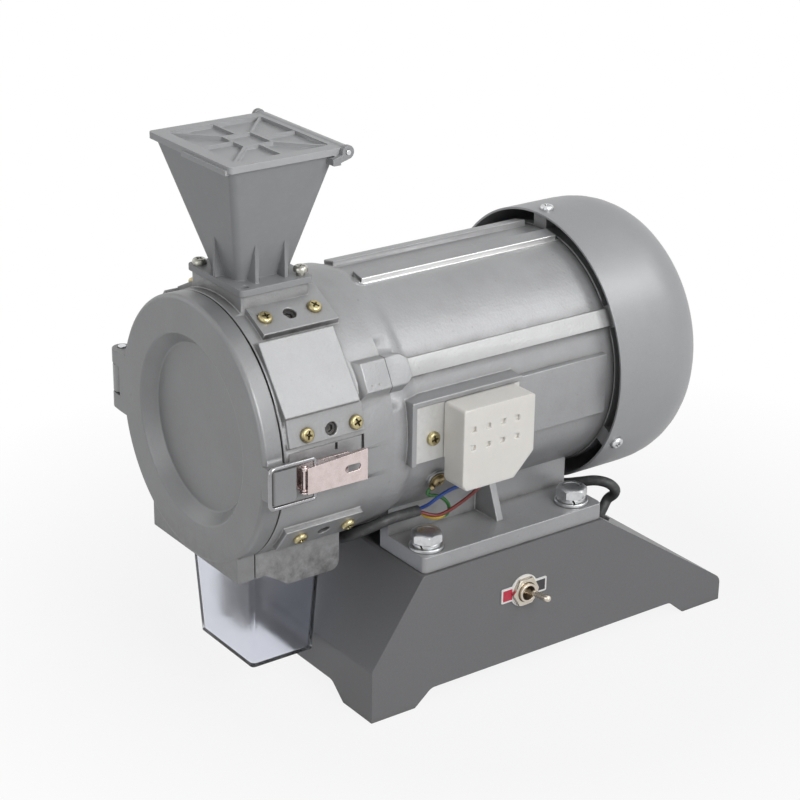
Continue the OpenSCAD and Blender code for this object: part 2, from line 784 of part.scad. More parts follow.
module rotor_shaft() {
    color("#c4c7ca") about_shaft() polygon([[0, shaft_y0 - shaft_thread_l],
        [tip_thread_r, shaft_y0 - shaft_thread_l], [tip_thread_r, shaft_y0 + shaft_shoulder],
        [journal_r, shaft_y0 + shaft_shoulder],
        [journal_r, bearing_front_y + bearing_front_t], [core_shaft_r, bearing_front_y + bearing_front_t + gap],
        [core_shaft_r, bearing_rear_y - gap], [journal_rear_r, bearing_rear_y - gap],
        [journal_rear_r, shaft_y1], [0, shaft_y1]]);
}

module motor_rotor() {
    y0 = stator_y0 + 1;
    y1 = stator_y1 - 1;
    color("#8b9096") difference() {
        union() {
            shaft_bar(rotor_r, y0, y1);
            for (y = [y0 - end_ring_l, y1]) shaft_bar(rotor_r - 3, y, y + end_ring_l);
        }
        shaft_bar(core_shaft_r + seat, y0 - end_ring_l - over, y1 + end_ring_l + over);
    }
}

module bearing(r, bore_r, y, t) {
    difference() {
        shaft_bar(r, y, y + t);
        shaft_bar(bore_r + fit, y - over, y + t + over);
        for (f = [y - over, y + t - 0.6]) difference() {
            shaft_bar(r - 3.2, f, f + over + 0.6);
            shaft_bar(bore_r + 3, f - over, f + 3 * over);
        }
    }
}

module front_bearing() {
    color("#bfc3c7") bearing(bearing_front_r, journal_r, bearing_front_y, bearing_front_t);
}

module rear_bearing() {
    color("#bfc3c7") bearing(bearing_rear_r, journal_rear_r, bearing_rear_y, bearing_rear_t);
}

module rear_shield() {
    color("#a9acaf") difference() {
        union() {
            about_shaft() polygon([[journal_rear_r + 3, bearing_rear_y + bearing_rear_t],
                [bearing_rear_r + seat, bearing_rear_y + bearing_rear_t], [bearing_rear_r + seat, bearing_rear_y - 2],
                [bearing_rear_r + 8, bearing_rear_y - 2], [bearing_rear_r + 12, frame_y1 + 1],
                [stator_r - seat - 6, frame_y1 + 1], [stator_r - seat - 6, frame_y1 - 5],
                [stator_r - seat, frame_y1 - 5], [stator_r - seat, frame_y1],
                [shield_r, frame_y1], [shield_r, shield_y1 - 4], [shield_r - 8, shield_y1 - 4],
                [bearing_rear_r + 10, shield_y1], [journal_rear_r + 3, shield_y1]]);
            for (a = tie_angles) at_angle(a)
                box_from([shield_r - 6, frame_y1, -shield_lug_w / 2], [bar_r + 1, shield_y1 - 4, shield_lug_w / 2]);
            for (a = cover_screw_angles) at_angle(a)
                box_from([bar_r - 6, cover_y0 + cover_screw_inset - 4, -6],
                    [cover_r - cover_wall - 3 * seat, shield_y1 - 4, 6]);
        }
        for (a = cover_screw_angles) at_angle(a)
            translate([0, cover_y0 + cover_screw_inset + 3, 0]) bar_x(screw_r + seat, bar_r - 4, cover_r + over);
        for (a = tie_angles) at_angle(a) translate([tie_circle_r, frame_y1 - over, 0])
            rotate([-90, 0, 0]) cylinder(r = tie_r + seat, h = shield_t + 2 * over);
        for (a = cover_screw_angles) at_angle(a)
            box_from([bar_r - 6 - over, cover_y0, -7], [cover_r, frame_y1, 7]);
    }
}

module cooling_fan() {
    color("#3f4246") difference() {
        union() {
            shaft_bar(fan_hub_r, fan_y0, fan_y0 + fan_l);
            shaft_bar(fan_r - 6, fan_y0, fan_y0 + fan_plate_t);
            for (i = [0:fan_blades - 1]) at_angle(360 * i / fan_blades)
                box_from([fan_hub_r - 2, fan_y0, -blade_t / 2], [fan_r, fan_y0 + fan_l, blade_t / 2]);
        }
        shaft_bar(journal_rear_r + seat, fan_y0 - over, fan_y0 + fan_l + over);
    }
}

// The cover's profile is a straight wall, a quarter of a flattened ellipse and a slightly domed end
function cover_curve(d) = concat([[cover_r - d, cover_y0]],
    [for (i = [0:10]) let (a = 9 * i)
        [cover_flat_r + (cover_r - cover_flat_r - d) * pow(cos(a), 0.9),
            cover_y1 - cover_round_l + (cover_round_l - d) * pow(sin(a), 0.9)]],
    [[cover_flat_r / 2, cover_y1 - d + 0.75 * cover_dome], [0, cover_y1 - d + cover_dome]]);

module fan_cover() {
    color("#b4b6b8") difference() {
        about_shaft() polygon(concat(cover_curve(0), [[0, cover_y0]]));
        about_shaft() polygon(concat([[cover_r - cover_wall, cover_y0 - over]], cover_curve(cover_wall),
            [[0, cover_y0 - over]]));
        for (row = vent_rows) for (i = [0:row[1] - 1]) at_angle(360 * i / row[1] + row[0])
            vent_slot(row[0]);
        for (a = cover_screw_angles) at_angle(a)
            translate([0, cover_y0 + cover_screw_inset + 3, 0]) bar_x(screw_r + seat, cover_r - 4, cover_r + over);
    }
}

module vent_slot(r) {
    y = cover_y1 - 3 * cover_wall - 2;
    translate([r, y, 0]) rotate([-90, 0, 0]) {
        for (s = [-1, 1]) translate([s * (vent_l - vent_w) / 2, 0, 0])
            cylinder(d = vent_w, h = cover_l);
        translate([-(vent_l - vent_w) / 2, -vent_w / 2, 0]) cube([vent_l - vent_w, vent_w, cover_l]);
    }
}

module fan_cover_screws() {
    color("#a7a9ab") for (a = cover_screw_angles) at_angle(a)
        translate([cover_r, cover_y0 + cover_screw_inset + 3, 0]) rotate([0, 90, 0])
            pan_screw(screw_head_r, screw_head_h, screw_r, 6);
}

module tie_bolts() {
    color("#8d9195") for (a = tie_angles) at_angle(a)
        translate([tie_circle_r, frame_y0 - tie_depth, 0]) rotate([-90, 0, 0]) {
            cylinder(r = tie_r, h = shield_y1 - 4 - frame_y0 + tie_depth);
            translate([0, 0, shield_y1 - 4 - frame_y0 + tie_depth]) hex(9, 4);
        }
}

// Drum

module pad(i) {
    at_angle(pad_angles[i]) box_from([chamber_r + boss_sink, drum_y0 + pad_starts[i], -pad_lows[i]],
        [pad_face_rs[i], drum_y0 + pad_ends[i], pad_highs[i]]);
}

// The flat that the drum has between its upper and its middle pad
module drum_plate() {
    at_angle(plate_a) box_from([chamber_r + boss_sink, drum_y0 + plate_start, -plate_w / 2],
        [drum_r + plate_h, drum_y0 + plate_end, plate_w / 2]);
}

module both_sides() {
    children();
    scale([-1, 1, 1]) children();
}

module liner_holes(r, x0, x1) {
    for (i = [0:2]) at_angle(pad_angles[i]) for (s = [-1, 1])
        translate([0, liner_ys[i] + s * liner_pitch / 2, 0]) bar_x(r, x0, x1);
}

function chute_side() = [[drum_y0, axis_z - drum_r], [drum_y0 + chute_step_l / 3, axis_z - drum_r],
    [drum_y0 + chute_step_l, axis_z - drum_r - chute_drop],
    [drum_y0 + chute_l, axis_z - drum_r - chute_drop], [drum_y0 + chute_l, axis_z - drum_r / 2],
    [drum_y0, axis_z - drum_r / 2]];

// The hollow that leads from the sieve down to the sample box
module chute_hollow() {
    w = box_w + 2 * box_flare_w + 2 * box_gap;
    l = box_l + 2 * box_flare_l + 2 * box_gap;
    translate([0, box_y, axis_z - drum_r - chute_drop - over])
        round_slab(w, l, box_z1 + 1 - (axis_z - drum_r - chute_drop - over), box_corner_r + 1);
    translate([0, box_y, box_z1])
        round_slab(w - 2 * chute_ledge, l - 2 * chute_ledge, chamber_r / 4, box_corner_r);
}

module hinge_arm() {
    translate([0, 0, knuckle_z0 + gap]) linear_extrude(knuckle_z1 - knuckle_z0 - 2 * gap) {
        translate([hinge_x, hinge_y]) circle(r = ear_r - 0.2);
        polygon([[hinge_x - ear_r + 0.2, hinge_y], [hinge_x - ear_r + 0.2, drum_y0 + 3],
            [-drum_r, drum_y0 + 16], [-drum_r + 5, drum_y0 + 16], [-drum_r + 5, drum_y0],
            [hinge_x + ear_r - 0.2, drum_y0], [hinge_x + ear_r - 0.2, hinge_y]]);
    }
}

module drum_housing() {
    color("#b0b2b4") difference() {
        union() {
            shaft_bar(drum_r, drum_y0, frame_y0);
            both_sides() for (i = [0:2]) pad(i);
            both_sides() drum_plate();
            box_from([chamber_r + boss_sink, latch_pad_y0, latch_z - latch_pad_w / 2],
                [latch_pad_x, latch_pad_y1, latch_z + latch_pad_w / 2]);
            translate([0, hopper_y, axis_z + chamber_r + over])
                round_slab(flange_w - 2 * inlet_pad_inset, flange_l - 2 * inlet_pad_inset,
                    inlet_pad_top - chamber_r - over, edge_r);
            span_x(-chute_w / 2, chute_w / 2)
                polygon(rounded(chute_side(), [0, edge_r, edge_r, 2 * edge_r, 0, 0]));
            for (a = tie_angles) tie_lug(a, -1, lug_front_l, lug_slope_l, edge_r, lug_w - edge_r);
            hinge_arm();
        }
        shaft_bar(chamber_r, drum_y0 - over, chamber_y1);
        shaft_bar(bearing_front_r + seat, bearing_front_y, frame_y0 + over);
        shaft_bar(seal_r + seat, chamber_y1 + 1, bearing_front_y + over);
        shaft_bar(journal_r + 1, chamber_y1 - over, bearing_front_y);
        translate([0, hopper_y, axis_z]) round_slab(inlet_w, inlet_l, inlet_pad_top + over, edge_r);
        chute_hollow();
        both_sides() liner_holes(screw_r + seat, chamber_r - over, lug_r + over);
        both_sides() for (i = [0:2]) at_angle(pad_angles[i])
            translate([0, liner_ys[i], 0]) bar_x(set_screw_r + seat, chamber_r - over, lug_r + over);
        for (a = tie_angles) at_angle(a)
            translate([tie_circle_r, frame_y0 - tie_depth - 2, 0]) rotate([-90, 0, 0])
                cylinder(r = tie_r + seat, h = tie_depth + 2 + over);
        for (i = [0, 1]) translate([latch_pad_x, latch_pad_y1 - latch_slot_backs[i], latch_z + latch_slot_zs[i]])
            box_from([-latch_slot_sink, -latch_slot_w, -latch_slot_hs[i]], [latch_slot_sink, 0, 0]);
        for (x = [-1, 1], y = [-1, 1])
            translate([x * (flange_w / 2 - flange_screw_inset), hopper_y + y * (flange_l / 2 - flange_screw_inset),
                inlet_top_z - hopper_screw_l + flange_t - 1])
                cylinder(r = screw_r + seat, h = hopper_screw_l);
        for (y = [0, 1]) translate([0, pivot_y + 9 + 20 * y, latch_z])
            bar_x(1.5 + seat, chamber_r + 2, latch_pad_x + over);
        translate([hinge_x, hinge_y, knuckle_z0 - over])
            cylinder(r = hinge_pin_r + fit, h = knuckle_z1 - knuckle_z0 + 2 * over);
    }
}

module liner(span) {
    r1 = chamber_r - seat;
    r0 = r1 - liner_t;
    teeth = floor((span[1] - span[0]) / tooth_step);
    difference() {
        at_angle(span[0]) rotate([90, 0, 0]) translate([0, 0, -chamber_y1 + 2])
            rotate_extrude(angle = span[1] - span[0])
                translate([r0, 0]) square([liner_t, chamber_l - 3]);
        for (i = [0.5:1:teeth]) at_angle(span[0] + tooth_step * i)
            span_y(drum_y0, chamber_y1) polygon([[r0 - 1, -tooth_depth], [r0 + tooth_depth, -tooth_depth / 3],
                [r0 + tooth_depth, tooth_depth / 3], [r0 - 1, tooth_depth]]);
    }
}

module liner_plates() {
    color("#7d8288") difference() {
        both_sides() for (s = liner_spans) liner(s);
        both_sides() liner_holes(screw_r + seat, chamber_r - 2 * liner_t, chamber_r + over);
        translate([0, hopper_y, axis_z]) round_slab(inlet_w + 2, inlet_l + 2, drum_r, edge_r);
    }
}

module liner_screws() {
    color("#c9a85c") both_sides() for (i = [0:2]) at_angle(pad_angles[i]) for (s = [-1, 1])
        translate([pad_face_rs[i], liner_ys[i] + s * liner_pitch / 2, 0]) rotate([0, 90, 0])
            pan_screw(screw_head_r, screw_head_h, screw_r, pad_face_rs[i] - chamber_r + 0.6 * liner_t);
}

module liner_set_screws() {
    color("#3a3c3e") both_sides() for (i = [0:2]) at_angle(pad_angles[i]) translate([0, liner_ys[i], 0])
        difference() {
            bar_x(set_screw_r, chamber_r + seat, pad_face_rs[i] - set_screw_sink);
            translate([pad_face_rs[i] - set_screw_sink - set_socket_l + over, 0, 0]) rotate([0, 90, 0])
                hex(set_socket_af, set_socket_l);
        }
}

module sieve_screen() {
    r = chamber_r - seat;
    half = (screen_span[1] - screen_span[0]) / 2;
    color("#a3a8ad") difference() {
        at_angle(screen_span[0]) rotate([90, 0, 0]) translate([0, 0, -chamber_y1 + 2])
            rotate_extrude(angle = 2 * half)
                translate([r - screen_t, 0]) square([screen_t, chamber_l - 3]);
        for (i = [0:screen_columns - 1], j = [0:screen_rows - 1])
            at_angle(-90 + (i - (screen_columns - 1) / 2) * 1.5 * half / screen_columns)
                translate([0, box_y + (j - (screen_rows - 1) / 2) * 0.75 * box_l / screen_rows, 0])
                    bar_x(screen_hole_r, r - 2 * screen_t, r + screen_t);
    }
}

module shaft_seal() {
    color("#2b2c2d") difference() {
        shaft_bar(seal_r, chamber_y1 + 1, chamber_y1 + 1 + seal_t);
        shaft_bar(journal_r + gap, chamber_y1, chamber_y1 + 2 + seal_t);
    }
}

module beater_rotor() {
    color("#9da2a7") difference() {
        union() {
            shaft_bar(rotor_hub_r, shaft_y0 + 1, disc_y1);
            shaft_bar(disc_r, disc_y1 - disc_t, disc_y1);
            for (i = [0:arm_count - 1]) at_angle(360 * i / arm_count)
                box_from([rotor_hub_r - 2, disc_y1 - blade_w, -arm_t / 2], [arm_r, disc_y1, arm_t / 2]);
        }
        shaft_bar(journal_r + seat, shaft_y0 - over, disc_y1 + over);
        for (i = [0:arm_count - 1]) at_angle(360 * i / arm_count)
            translate([arm_r - 6, disc_y1 - blade_w / 2, -arm_t]) cylinder(r = 2 + seat, h = 2 * arm_t);
    }
}

module beater_blades() {
    color("#8a9096") for (i = [0:arm_count - 1]) at_angle(360 * i / arm_count) difference() {
        box_from([blade_r0, disc_y1 - blade_l, arm_t / 2],
            [beater_r, disc_y1, arm_t / 2 + blade_plate_t]);
        translate([arm_r - 6, disc_y1 - blade_w / 2, 0]) cylinder(r = 2 + seat, h = 2 * arm_t);
        translate([blade_r0 - over, disc_y1 - blade_l - over, 0])
            cube([beater_r - blade_r0 - 10 + over, blade_l - blade_w - 8, 2 * arm_t]);
    }
}

module blade_screws() {
    color("#6d7277") for (i = [0:arm_count - 1]) at_angle(360 * i / arm_count)
        translate([arm_r - 6, disc_y1 - blade_w / 2, arm_t / 2 + blade_plate_t])
            pan_screw(3.6, 2.4, 2, arm_t + blade_plate_t - 1);
}

module rotor_nut() {
    color("#8f9499") difference() {
        union() {
            shaft_bar(rotor_hub_r - 2, shaft_y0 - 1, shaft_y0 + 1);
            translate([0, shaft_y0 - 1, axis_z]) rotate([90, 0, 0]) hex(cap_nut_af, cap_nut_h);
            shaft_bar(cap_nut_af / 2 - 1, shaft_y0 - 5 - cap_nut_h, shaft_y0 - 2);
        }
        shaft_bar(tip_thread_r + seat, shaft_y0 - 12 - seat, shaft_y0 + 1 + over);
    }
}

// Door and hinge

function door_profile() = [[0, door_y1], [drum_r, door_y1], [drum_r, door_y0], [dish_r, door_y0],
    [dish_r - 7, door_y0 + dish_depth], [0, door_y0 + dish_depth]];

module door() {
    color("#8f9193") difference() {
        union() {
            about_shaft() polygon(rounded(door_profile(), [0, 0.8, edge_r, 2, 2, 0]));
            span_y(door_y0 + 1, door_y1) polygon([[-chute_w / 2, axis_z - drum_r],
                [chute_w / 2, axis_z - drum_r], [chute_w / 2, axis_z - drum_r + door_foot_h],
                [chute_w / 2 - 3, axis_z - drum_r + door_foot_h + 3],
                [-chute_w / 2 + 3, axis_z - drum_r + door_foot_h + 3],
                [-chute_w / 2, axis_z - drum_r + door_foot_h]]);
            translate([0, 0, hinge_bottom]) linear_extrude(hinge_top - hinge_bottom) {
                translate([hinge_x, hinge_y]) circle(r = ear_r);
                translate([hinge_x, door_y0]) square([abs(hinge_x) - drum_r + 9, door_t]);
            }
            keeper();
        }
        box_from([hinge_x - 2 * ear_r, door_y0 - over, knuckle_z0],
            [hinge_x + ear_r + gap, drum_y0 + over, knuckle_z1]);
        translate([hinge_x, hinge_y, hinge_bottom - over])
            cylinder(r = hinge_pin_r, h = hinge_top - hinge_bottom + 2 * over);
        about_shaft() polygon([[gasket_r0 - seat, door_y1 - gasket_t], [gasket_r1 + seat, door_y1 - gasket_t],
            [gasket_r1 + seat, door_y1 + over], [gasket_r0 - seat, door_y1 + over]]);
    }
}

// The lug on the door that the bail hooks round
module keeper() {
    translate([0, 0, latch_z - keeper_h / 2]) linear_extrude(keeper_h)
        polygon(rounded([[drum_r - 7, door_y0 + 1], [drum_r - 2, door_y0], [keeper_x, door_y0],
            [keeper_x, door_y1 + keeper_back], [drum_r + 1, door_y1 + keeper_back],
            [drum_r + 1, door_y1], [drum_r - 7, door_y1]], [0, 0, 2.5, 1, 0, 0, 0]));
}

module door_gasket() {
    color("#2f3031") about_shaft() polygon([[gasket_r0, door_y1 - gasket_t], [gasket_r1, door_y1 - gasket_t],
        [gasket_r1, door_y1 + door_gap - gap], [gasket_r0, door_y1 + door_gap - gap]]);
}

module door_hinge_pin() {
    color("#c8cacc") translate([hinge_x, hinge_y, hinge_bottom - 1])
        cylinder(r = hinge_pin_r, h = hinge_top - hinge_bottom + 2);
}

// Latch

module latch_base() {
    x0 = latch_pad_x;
    x1 = latch_pad_x + latch_plate_t;
    color("#c9bdbb") difference() {
        union() {
            box_from([x0, pivot_y - 3, latch_z - ear_w / 2], [x1, pivot_y + latch_plate_l, latch_z + ear_w / 2]);
            for (s = [-1, 1]) translate([0, 0, latch_z + s * (ear_w - ear_t) / 2 - ear_t / 2])
                linear_extrude(ear_t) {
                    translate([pivot_x, pivot_y]) circle(r = 2.3);
                    translate([x0, pivot_y - 2.3]) square([pivot_x - x0, 4.6]);
                }
        }
        translate([pivot_x, pivot_y, latch_z - ear_w]) cylinder(r = pivot_r, h = 2 * ear_w);
        for (y = [0, 1]) translate([0, pivot_y + 9 + 20 * y, latch_z])
            bar_x(1.5 + seat, x0 - over, x1 + over);
    }
}

module latch_rivets() {
    color("#b9afad") for (y = [0, 1]) translate([0, pivot_y + 9 + 20 * y, latch_z]) {
        bar_x(1.5, latch_pad_x - 4, latch_pad_x + latch_plate_t);
        bar_x(2.6, latch_pad_x + latch_plate_t, latch_pad_x + latch_plate_t + 1);
    }
}

module latch_pivot_pin() {
    color("#b9afad") translate([pivot_x, pivot_y, latch_z - lever_w / 2 - 0.8])
        cylinder(r = pivot_r, h = lever_w + 1.6);
}

// The lever seen square to its face, drawn in by d at its sides and drawn out by l at its ends
module lever_face(d, l) {
    y0 = pivot_y - l;
    y1 = pivot_y + lever_l + l;
    w = lever_w / 2 - d;
    polygon([[y0, latch_z - w], [y1, latch_z - w - lever_sink], [y1, latch_z + w + lever_rise], [y0, latch_z + w]]);
}

module latch_lever() {
    tail = pivot_y + lever_l;
    mark_y = tail - 10;
    color("#d2c4c2") difference() {
        union() {
            difference() {
                span_x(pivot_x - lever_nose_r, lever_x + lever_t) lever_face(0, 0);
                span_x(pivot_x - 2 * lever_nose_r, lever_x) lever_face(ear_t, lever_l);
                translate([0, 0, latch_z - lever_w]) linear_extrude(2 * lever_w)
                    polygon([[pivot_x - 2 * lever_nose_r, bail_y + 3], [pivot_x - lever_nose_r, bail_y + 3],
                        [lever_x + lever_t - 2 * lever_lip, bail_y + 8], [lever_x + lever_t - lever_lip, tail],
                        [pivot_x - 2 * lever_nose_r, tail + lever_t]]);
            }
            for (s = [-1, 1]) translate([pivot_x, pivot_y, latch_z + s * (lever_w - ear_t) / 2 - ear_t / 2])
                cylinder(r = lever_nose_r, h = ear_t);
        }
        for (s = [-1, 1]) translate([pivot_x, pivot_y, latch_z + s * lever_w / 2 - 2])
            cylinder(r = pivot_r + fit, h = 4);
        for (s = [-1, 1]) translate([bail_x, bail_y, latch_z + s * lever_w / 2 - 2])
            cylinder(r = bail_r + fit, h = 4);
        for (s = [-1, 1]) translate([0, mark_y + 3 * s, latch_z + 1]) bar_x(2.2, lever_x - over, lever_x + 2 * over);
        box_from([lever_x - over, mark_y - 3, latch_z - 1.2], [lever_x + 2 * over, mark_y + 3, latch_z + 3.2]);
    }
}

// A quarter bend of wire in the plane of the bail
module wire_bend(s) {
    translate([bail_x, bail_front_y + bail_bend_r, latch_z + s * (bail_w / 2 - bail_bend_r)])
        rotate([0, 90, 0]) rotate([0, 0, s > 0 ? 180 : 270])
            rotate_extrude(angle = 90) translate([bail_bend_r, 0]) circle(r = bail_r);
}

module latch_bail() {
    inner = lever_w / 2 - 1.4;
    color("#cfd1d3") union() {
        for (s = [-1, 1]) {
            translate([bail_x, bail_front_y + bail_bend_r, latch_z + s * bail_w / 2]) rotate([-90, 0, 0])
                cylinder(r = bail_r, h = bail_y - bail_front_y - bail_bend_r);
            translate([bail_x, bail_y, latch_z + s * bail_w / 2]) sphere(r = bail_r);
            translate([bail_x, bail_y, latch_z + (s > 0 ? inner : -bail_w / 2)])
                cylinder(r = bail_r, h = bail_w / 2 - inner);
            wire_bend(s);
        }
        translate([bail_x, bail_front_y, latch_z - bail_w / 2 + bail_bend_r])
            cylinder(r = bail_r, h = bail_w - 2 * bail_bend_r);
    }
}

// Hopper and lid

rim_w = lid_w - 2 * rim_inset;
rim_y0 = hopper_y - lid_l / 2 + rim_inset;
rim_y1 = lid_pin_y - barrel_r - 3 * gap;
rim_l = rim_y1 - rim_y0;
rim_mid = (rim_y0 + rim_y1) / 2;

module thin_slab(w, l, r) {
    round_slab(w, l, 0.1, r);
}

// The tapering body of the hopper, drawn in by d
module funnel(d, z0, z1) {
    hull() {
        translate([0, hopper_y, z0]) thin_slab(neck_w - 2 * d, neck_l - 2 * d, rim_r);
        translate([0, rim_mid, z1 - 0.1]) thin_slab(rim_w - 2 * d, rim_l - 2 * d, rim_r);
    }
}

// Half width and half depth of the funnel at height z, for the fins
function funnel_half(z, neck, rim) =
    (neck + (rim - neck) * (z - inlet_top_z - neck_h) / (hopper_h - neck_h)) / 2;

module fin_profile(neck, rim) {
    z1 = inlet_top_z + neck_h + (hopper_h - neck_h) * (2 * fin_reach - neck) / (rim - neck);
    polygon([[neck / 2 - hopper_wall, inlet_top_z + 1], [fin_reach, inlet_top_z + 1], [fin_reach, z1],
        [neck / 2 - hopper_wall / 2, inlet_top_z + neck_h]]);
}

module hopper_fins() {
    for (s = [-1, 1], t = [-1, 1]) scale([s, 1, 1])
        span_y(hopper_y + t * fin_offset - fin_t / 2, hopper_y + t * fin_offset + fin_t / 2)
            fin_profile(neck_w, rim_w);
    for (s = [-1, 1]) translate([0, hopper_y, 0]) scale([1, s, 1])
        span_x(-fin_t / 2, fin_t / 2) fin_profile(neck_l, rim_l);
}

module hopper() {
    color("#949698") difference() {
        union() {
            translate([0, hopper_y, inlet_top_z]) round_slab(flange_w, flange_l, flange_t, edge_r);
            translate([0, hopper_y, inlet_top_z]) round_slab(neck_w, neck_l, neck_h + 1, rim_r);
            funnel(0, inlet_top_z + neck_h, rim_z);
            hopper_fins();
            for (s = [-1, 1]) scale([s, 1, 1]) span_x(lid_w / 2 + gap, lid_w / 2 + gap + lid_ear_l) lid_ear();
            for (s = [-1, 1]) scale([s, 1, 1])
                box_from([rim_w / 2 - 2 * hopper_wall, rim_y1 - lid_ear_root_l - over, rim_z - lid_ear_root_h],
                    [lid_w / 2 + gap + lid_ear_l, rim_y1 - over, rim_z - 2 * gap]);
        }
        funnel(hopper_wall, inlet_top_z + neck_h, rim_z + 0.2);
        translate([0, hopper_y, inlet_top_z - over])
            round_slab(neck_w - 2 * hopper_wall, neck_l - 2 * hopper_wall, neck_h + 2 * over, rim_r - 1);
        for (x = [-1, 1], y = [-1, 1])
            translate([x * (flange_w / 2 - flange_screw_inset), hopper_y + y * (flange_l / 2 - flange_screw_inset),
                inlet_top_z - over])
                cylinder(r = screw_r + seat, h = flange_t + 2 * over);
        translate([0, lid_pin_y, lid_pin_z]) bar_x(lid_pin_r, -lid_w, lid_w);
    }
}

// The eye that holds one end of the lid's pin, with its root on the side of the rim
module lid_ear() {
    r = barrel_r + lid_ear_wall;
    translate([lid_pin_y, lid_pin_z]) circle(r = r);
    polygon([[rim_y1 - lid_ear_root_l - over, rim_z - lid_ear_root_h], [lid_pin_y, lid_pin_z - r],
        [lid_pin_y, lid_pin_z], [rim_y1 - lid_ear_root_l - over, rim_z - 2 * gap]]);
}

// One rib of the lid, between two points of the plan
module lid_rib(a, b) {
    u = unit(b - a);
    n = right_of(u) * lid_rib_t / 2;
    polygon([a + n, a - n, b - n, b + n]);
}

module lid_ribs() {
    w = lid_w / 2 - lid_frame_w;
    l = lid_l / 2 - lid_frame_w;
    ring = [lid_ring_w, lid_ring_l] / 2;
    hole = ring - [lid_rib_t, lid_rib_t];
    mid = (ring + hole) / 2;
    translate([0, hopper_y, lid_z1 - lid_recess - lid_rib_drop])
        linear_extrude(lid_recess) difference() {
            union() {
                square(2 * ring, center = true);
                for (x = [-1, 1], y = [-1, 1]) lid_rib([x * mid[0], y * mid[1]], [x * w, y * l]);
                for (s = [-1, 1]) lid_rib([s * mid[0], 0], [s * (w + lid_rib_t), 0]);
                for (s = [-1, 1]) lid_rib([0, s * mid[1]], [0, s * (l + lid_rib_t)]);
            }
            square(2 * hole, center = true);
        }
}

module hopper_lid() {
    color("#97999b") difference() {
        union() {
            difference() {
                translate([0, hopper_y, lid_z0]) round_slab(lid_w, lid_l, lid_t, lid_corner_r);
                translate([0, hopper_y, lid_z1 - lid_recess])
                    round_slab(lid_w - 2 * lid_frame_w, lid_l - 2 * lid_frame_w, lid_t, edge_r);
            }
            lid_ribs();
            translate([0, lid_pin_y, lid_pin_z]) bar_x(barrel_r, -lid_w / 2, lid_w / 2);
            box_from([(lip_start_share - 0.5) * lid_w, hopper_y - lid_l / 2 - lip_t, lid_z0 - lip_h / 2],
                [lid_w / 2 - lid_corner_r, hopper_y - lid_l / 2 + lip_t, lid_z0 + lid_t / 2]);
        }
        translate([0, lid_pin_y, lid_pin_z]) bar_x(lid_pin_r + fit, -lid_w, lid_w);
    }
}

module lid_hinge_pin() {
    l = lid_w + 2 * gap + 2 * lid_ear_l + 1;
    color("#d5d7d9") translate([0, lid_pin_y, lid_pin_z]) bar_x(lid_pin_r, -l / 2, l / 2);
}

module hopper_screws() {
    color("#bfae7c") for (c = [[-1, -1, 0], [-1, 1, 0], [1, 1, 2.5]])
        translate([c[0] * (flange_w / 2 - flange_screw_inset), hopper_y + c[1] * (flange_l / 2 - flange_screw_inset),
            inlet_top_z + flange_t + c[2]])
            pan_screw(screw_head_r, screw_head_h + 0.6, screw_r, hopper_screw_l - 2);
}

// Sample box

module box_form(d, z0, z1) {
    hull() {
        translate([0, box_y, z0]) thin_slab(box_w - 2 * d, box_l - 2 * d, box_corner_r);
        translate([0, box_y, z1 - 0.1])
            thin_slab(box_w + 2 * box_flare_w - 2 * d, box_l + 2 * box_flare_l - 2 * d, box_corner_r);
    }
}

module sample_box() {
    color("#c9cde0", 0.4) difference() {
        box_form(0, box_z0, box_z1);
        box_form(box_wall, box_z0 + box_wall, box_z1 + 0.2);
    }
}

// Terminal block, wires and lead

module terminal_plate() {
    color("#c3c5c7") difference() {
        box_from([terminal_x, terminal_y0 + terminal_rim + 1, terminal_z0 + 1],
            [terminal_x + terminal_plate_t, terminal_y1 - 1, terminal_z1 - terminal_rim - 1]);
        translate([0, terminal_screw_y, terminal_screw_z])
            bar_x(screw_r + seat, terminal_x - over, terminal_x + terminal_plate_t + over);
    }
}

module terminal_block() {
    x0 = terminal_x + terminal_plate_t;
    color("#e6e4de") difference() {
        span_x(x0, block_x1) polygon(rounded([[block_y0, block_z1], [block_y1, block_z1],
            [block_y1, block_z0 + block_chamfer], [block_y1 - block_chamfer, block_z0], [block_y0 + 2, block_z0],
            [block_y0, block_z0 + 3]], [2, 2, 2, 2, 0, 0]));
        for (z = cell_rows_z) for (i = [0:3])
            box_from([block_x1 - 2, block_y0 + cell_first + i * cell_pitch - cell_w / 2, axis_z + z + 0.5 * cell_w],
                [block_x1 + over, block_y0 + cell_first + i * cell_pitch + cell_w / 2, axis_z + z + 1.5 * cell_w]);
        box_from([x0 - over, block_y0 - over, terminal_z0 - 2 * block_chamfer],
            [x0 + 1, block_y1 + over, terminal_z0 + 1]);
    }
}

module terminal_screw() {
    color("#c9a85c") translate([terminal_x + terminal_plate_t, terminal_screw_y, terminal_screw_z])
        rotate([0, 90, 0]) pan_screw(screw_head_r, screw_head_h, screw_r, terminal_screw_l);
}

// The ring terminal lies flat on its boss, with its barrel pointing down and to the front
module earth_lug() {
    w = 2 * wire_r;
    color("#b9a15c") at_angle(earth_a) translate([earth_face_r, earth_y, 0]) rotate([-earth_lug_a, 0, 0])
        difference() {
            union() {
                bar_x(earth_boss_r - 1.2, 0, earth_lug_t);
                box_from([0, -w / 2, -earth_lug_l], [earth_lug_t, w / 2, 0]);
                translate([earth_lug_t + wire_r, 0, -earth_lug_l]) cylinder(r = wire_r + 0.7, h = w);
            }
            bar_x(screw_r + seat, -over, earth_lug_t + over);
        }
}

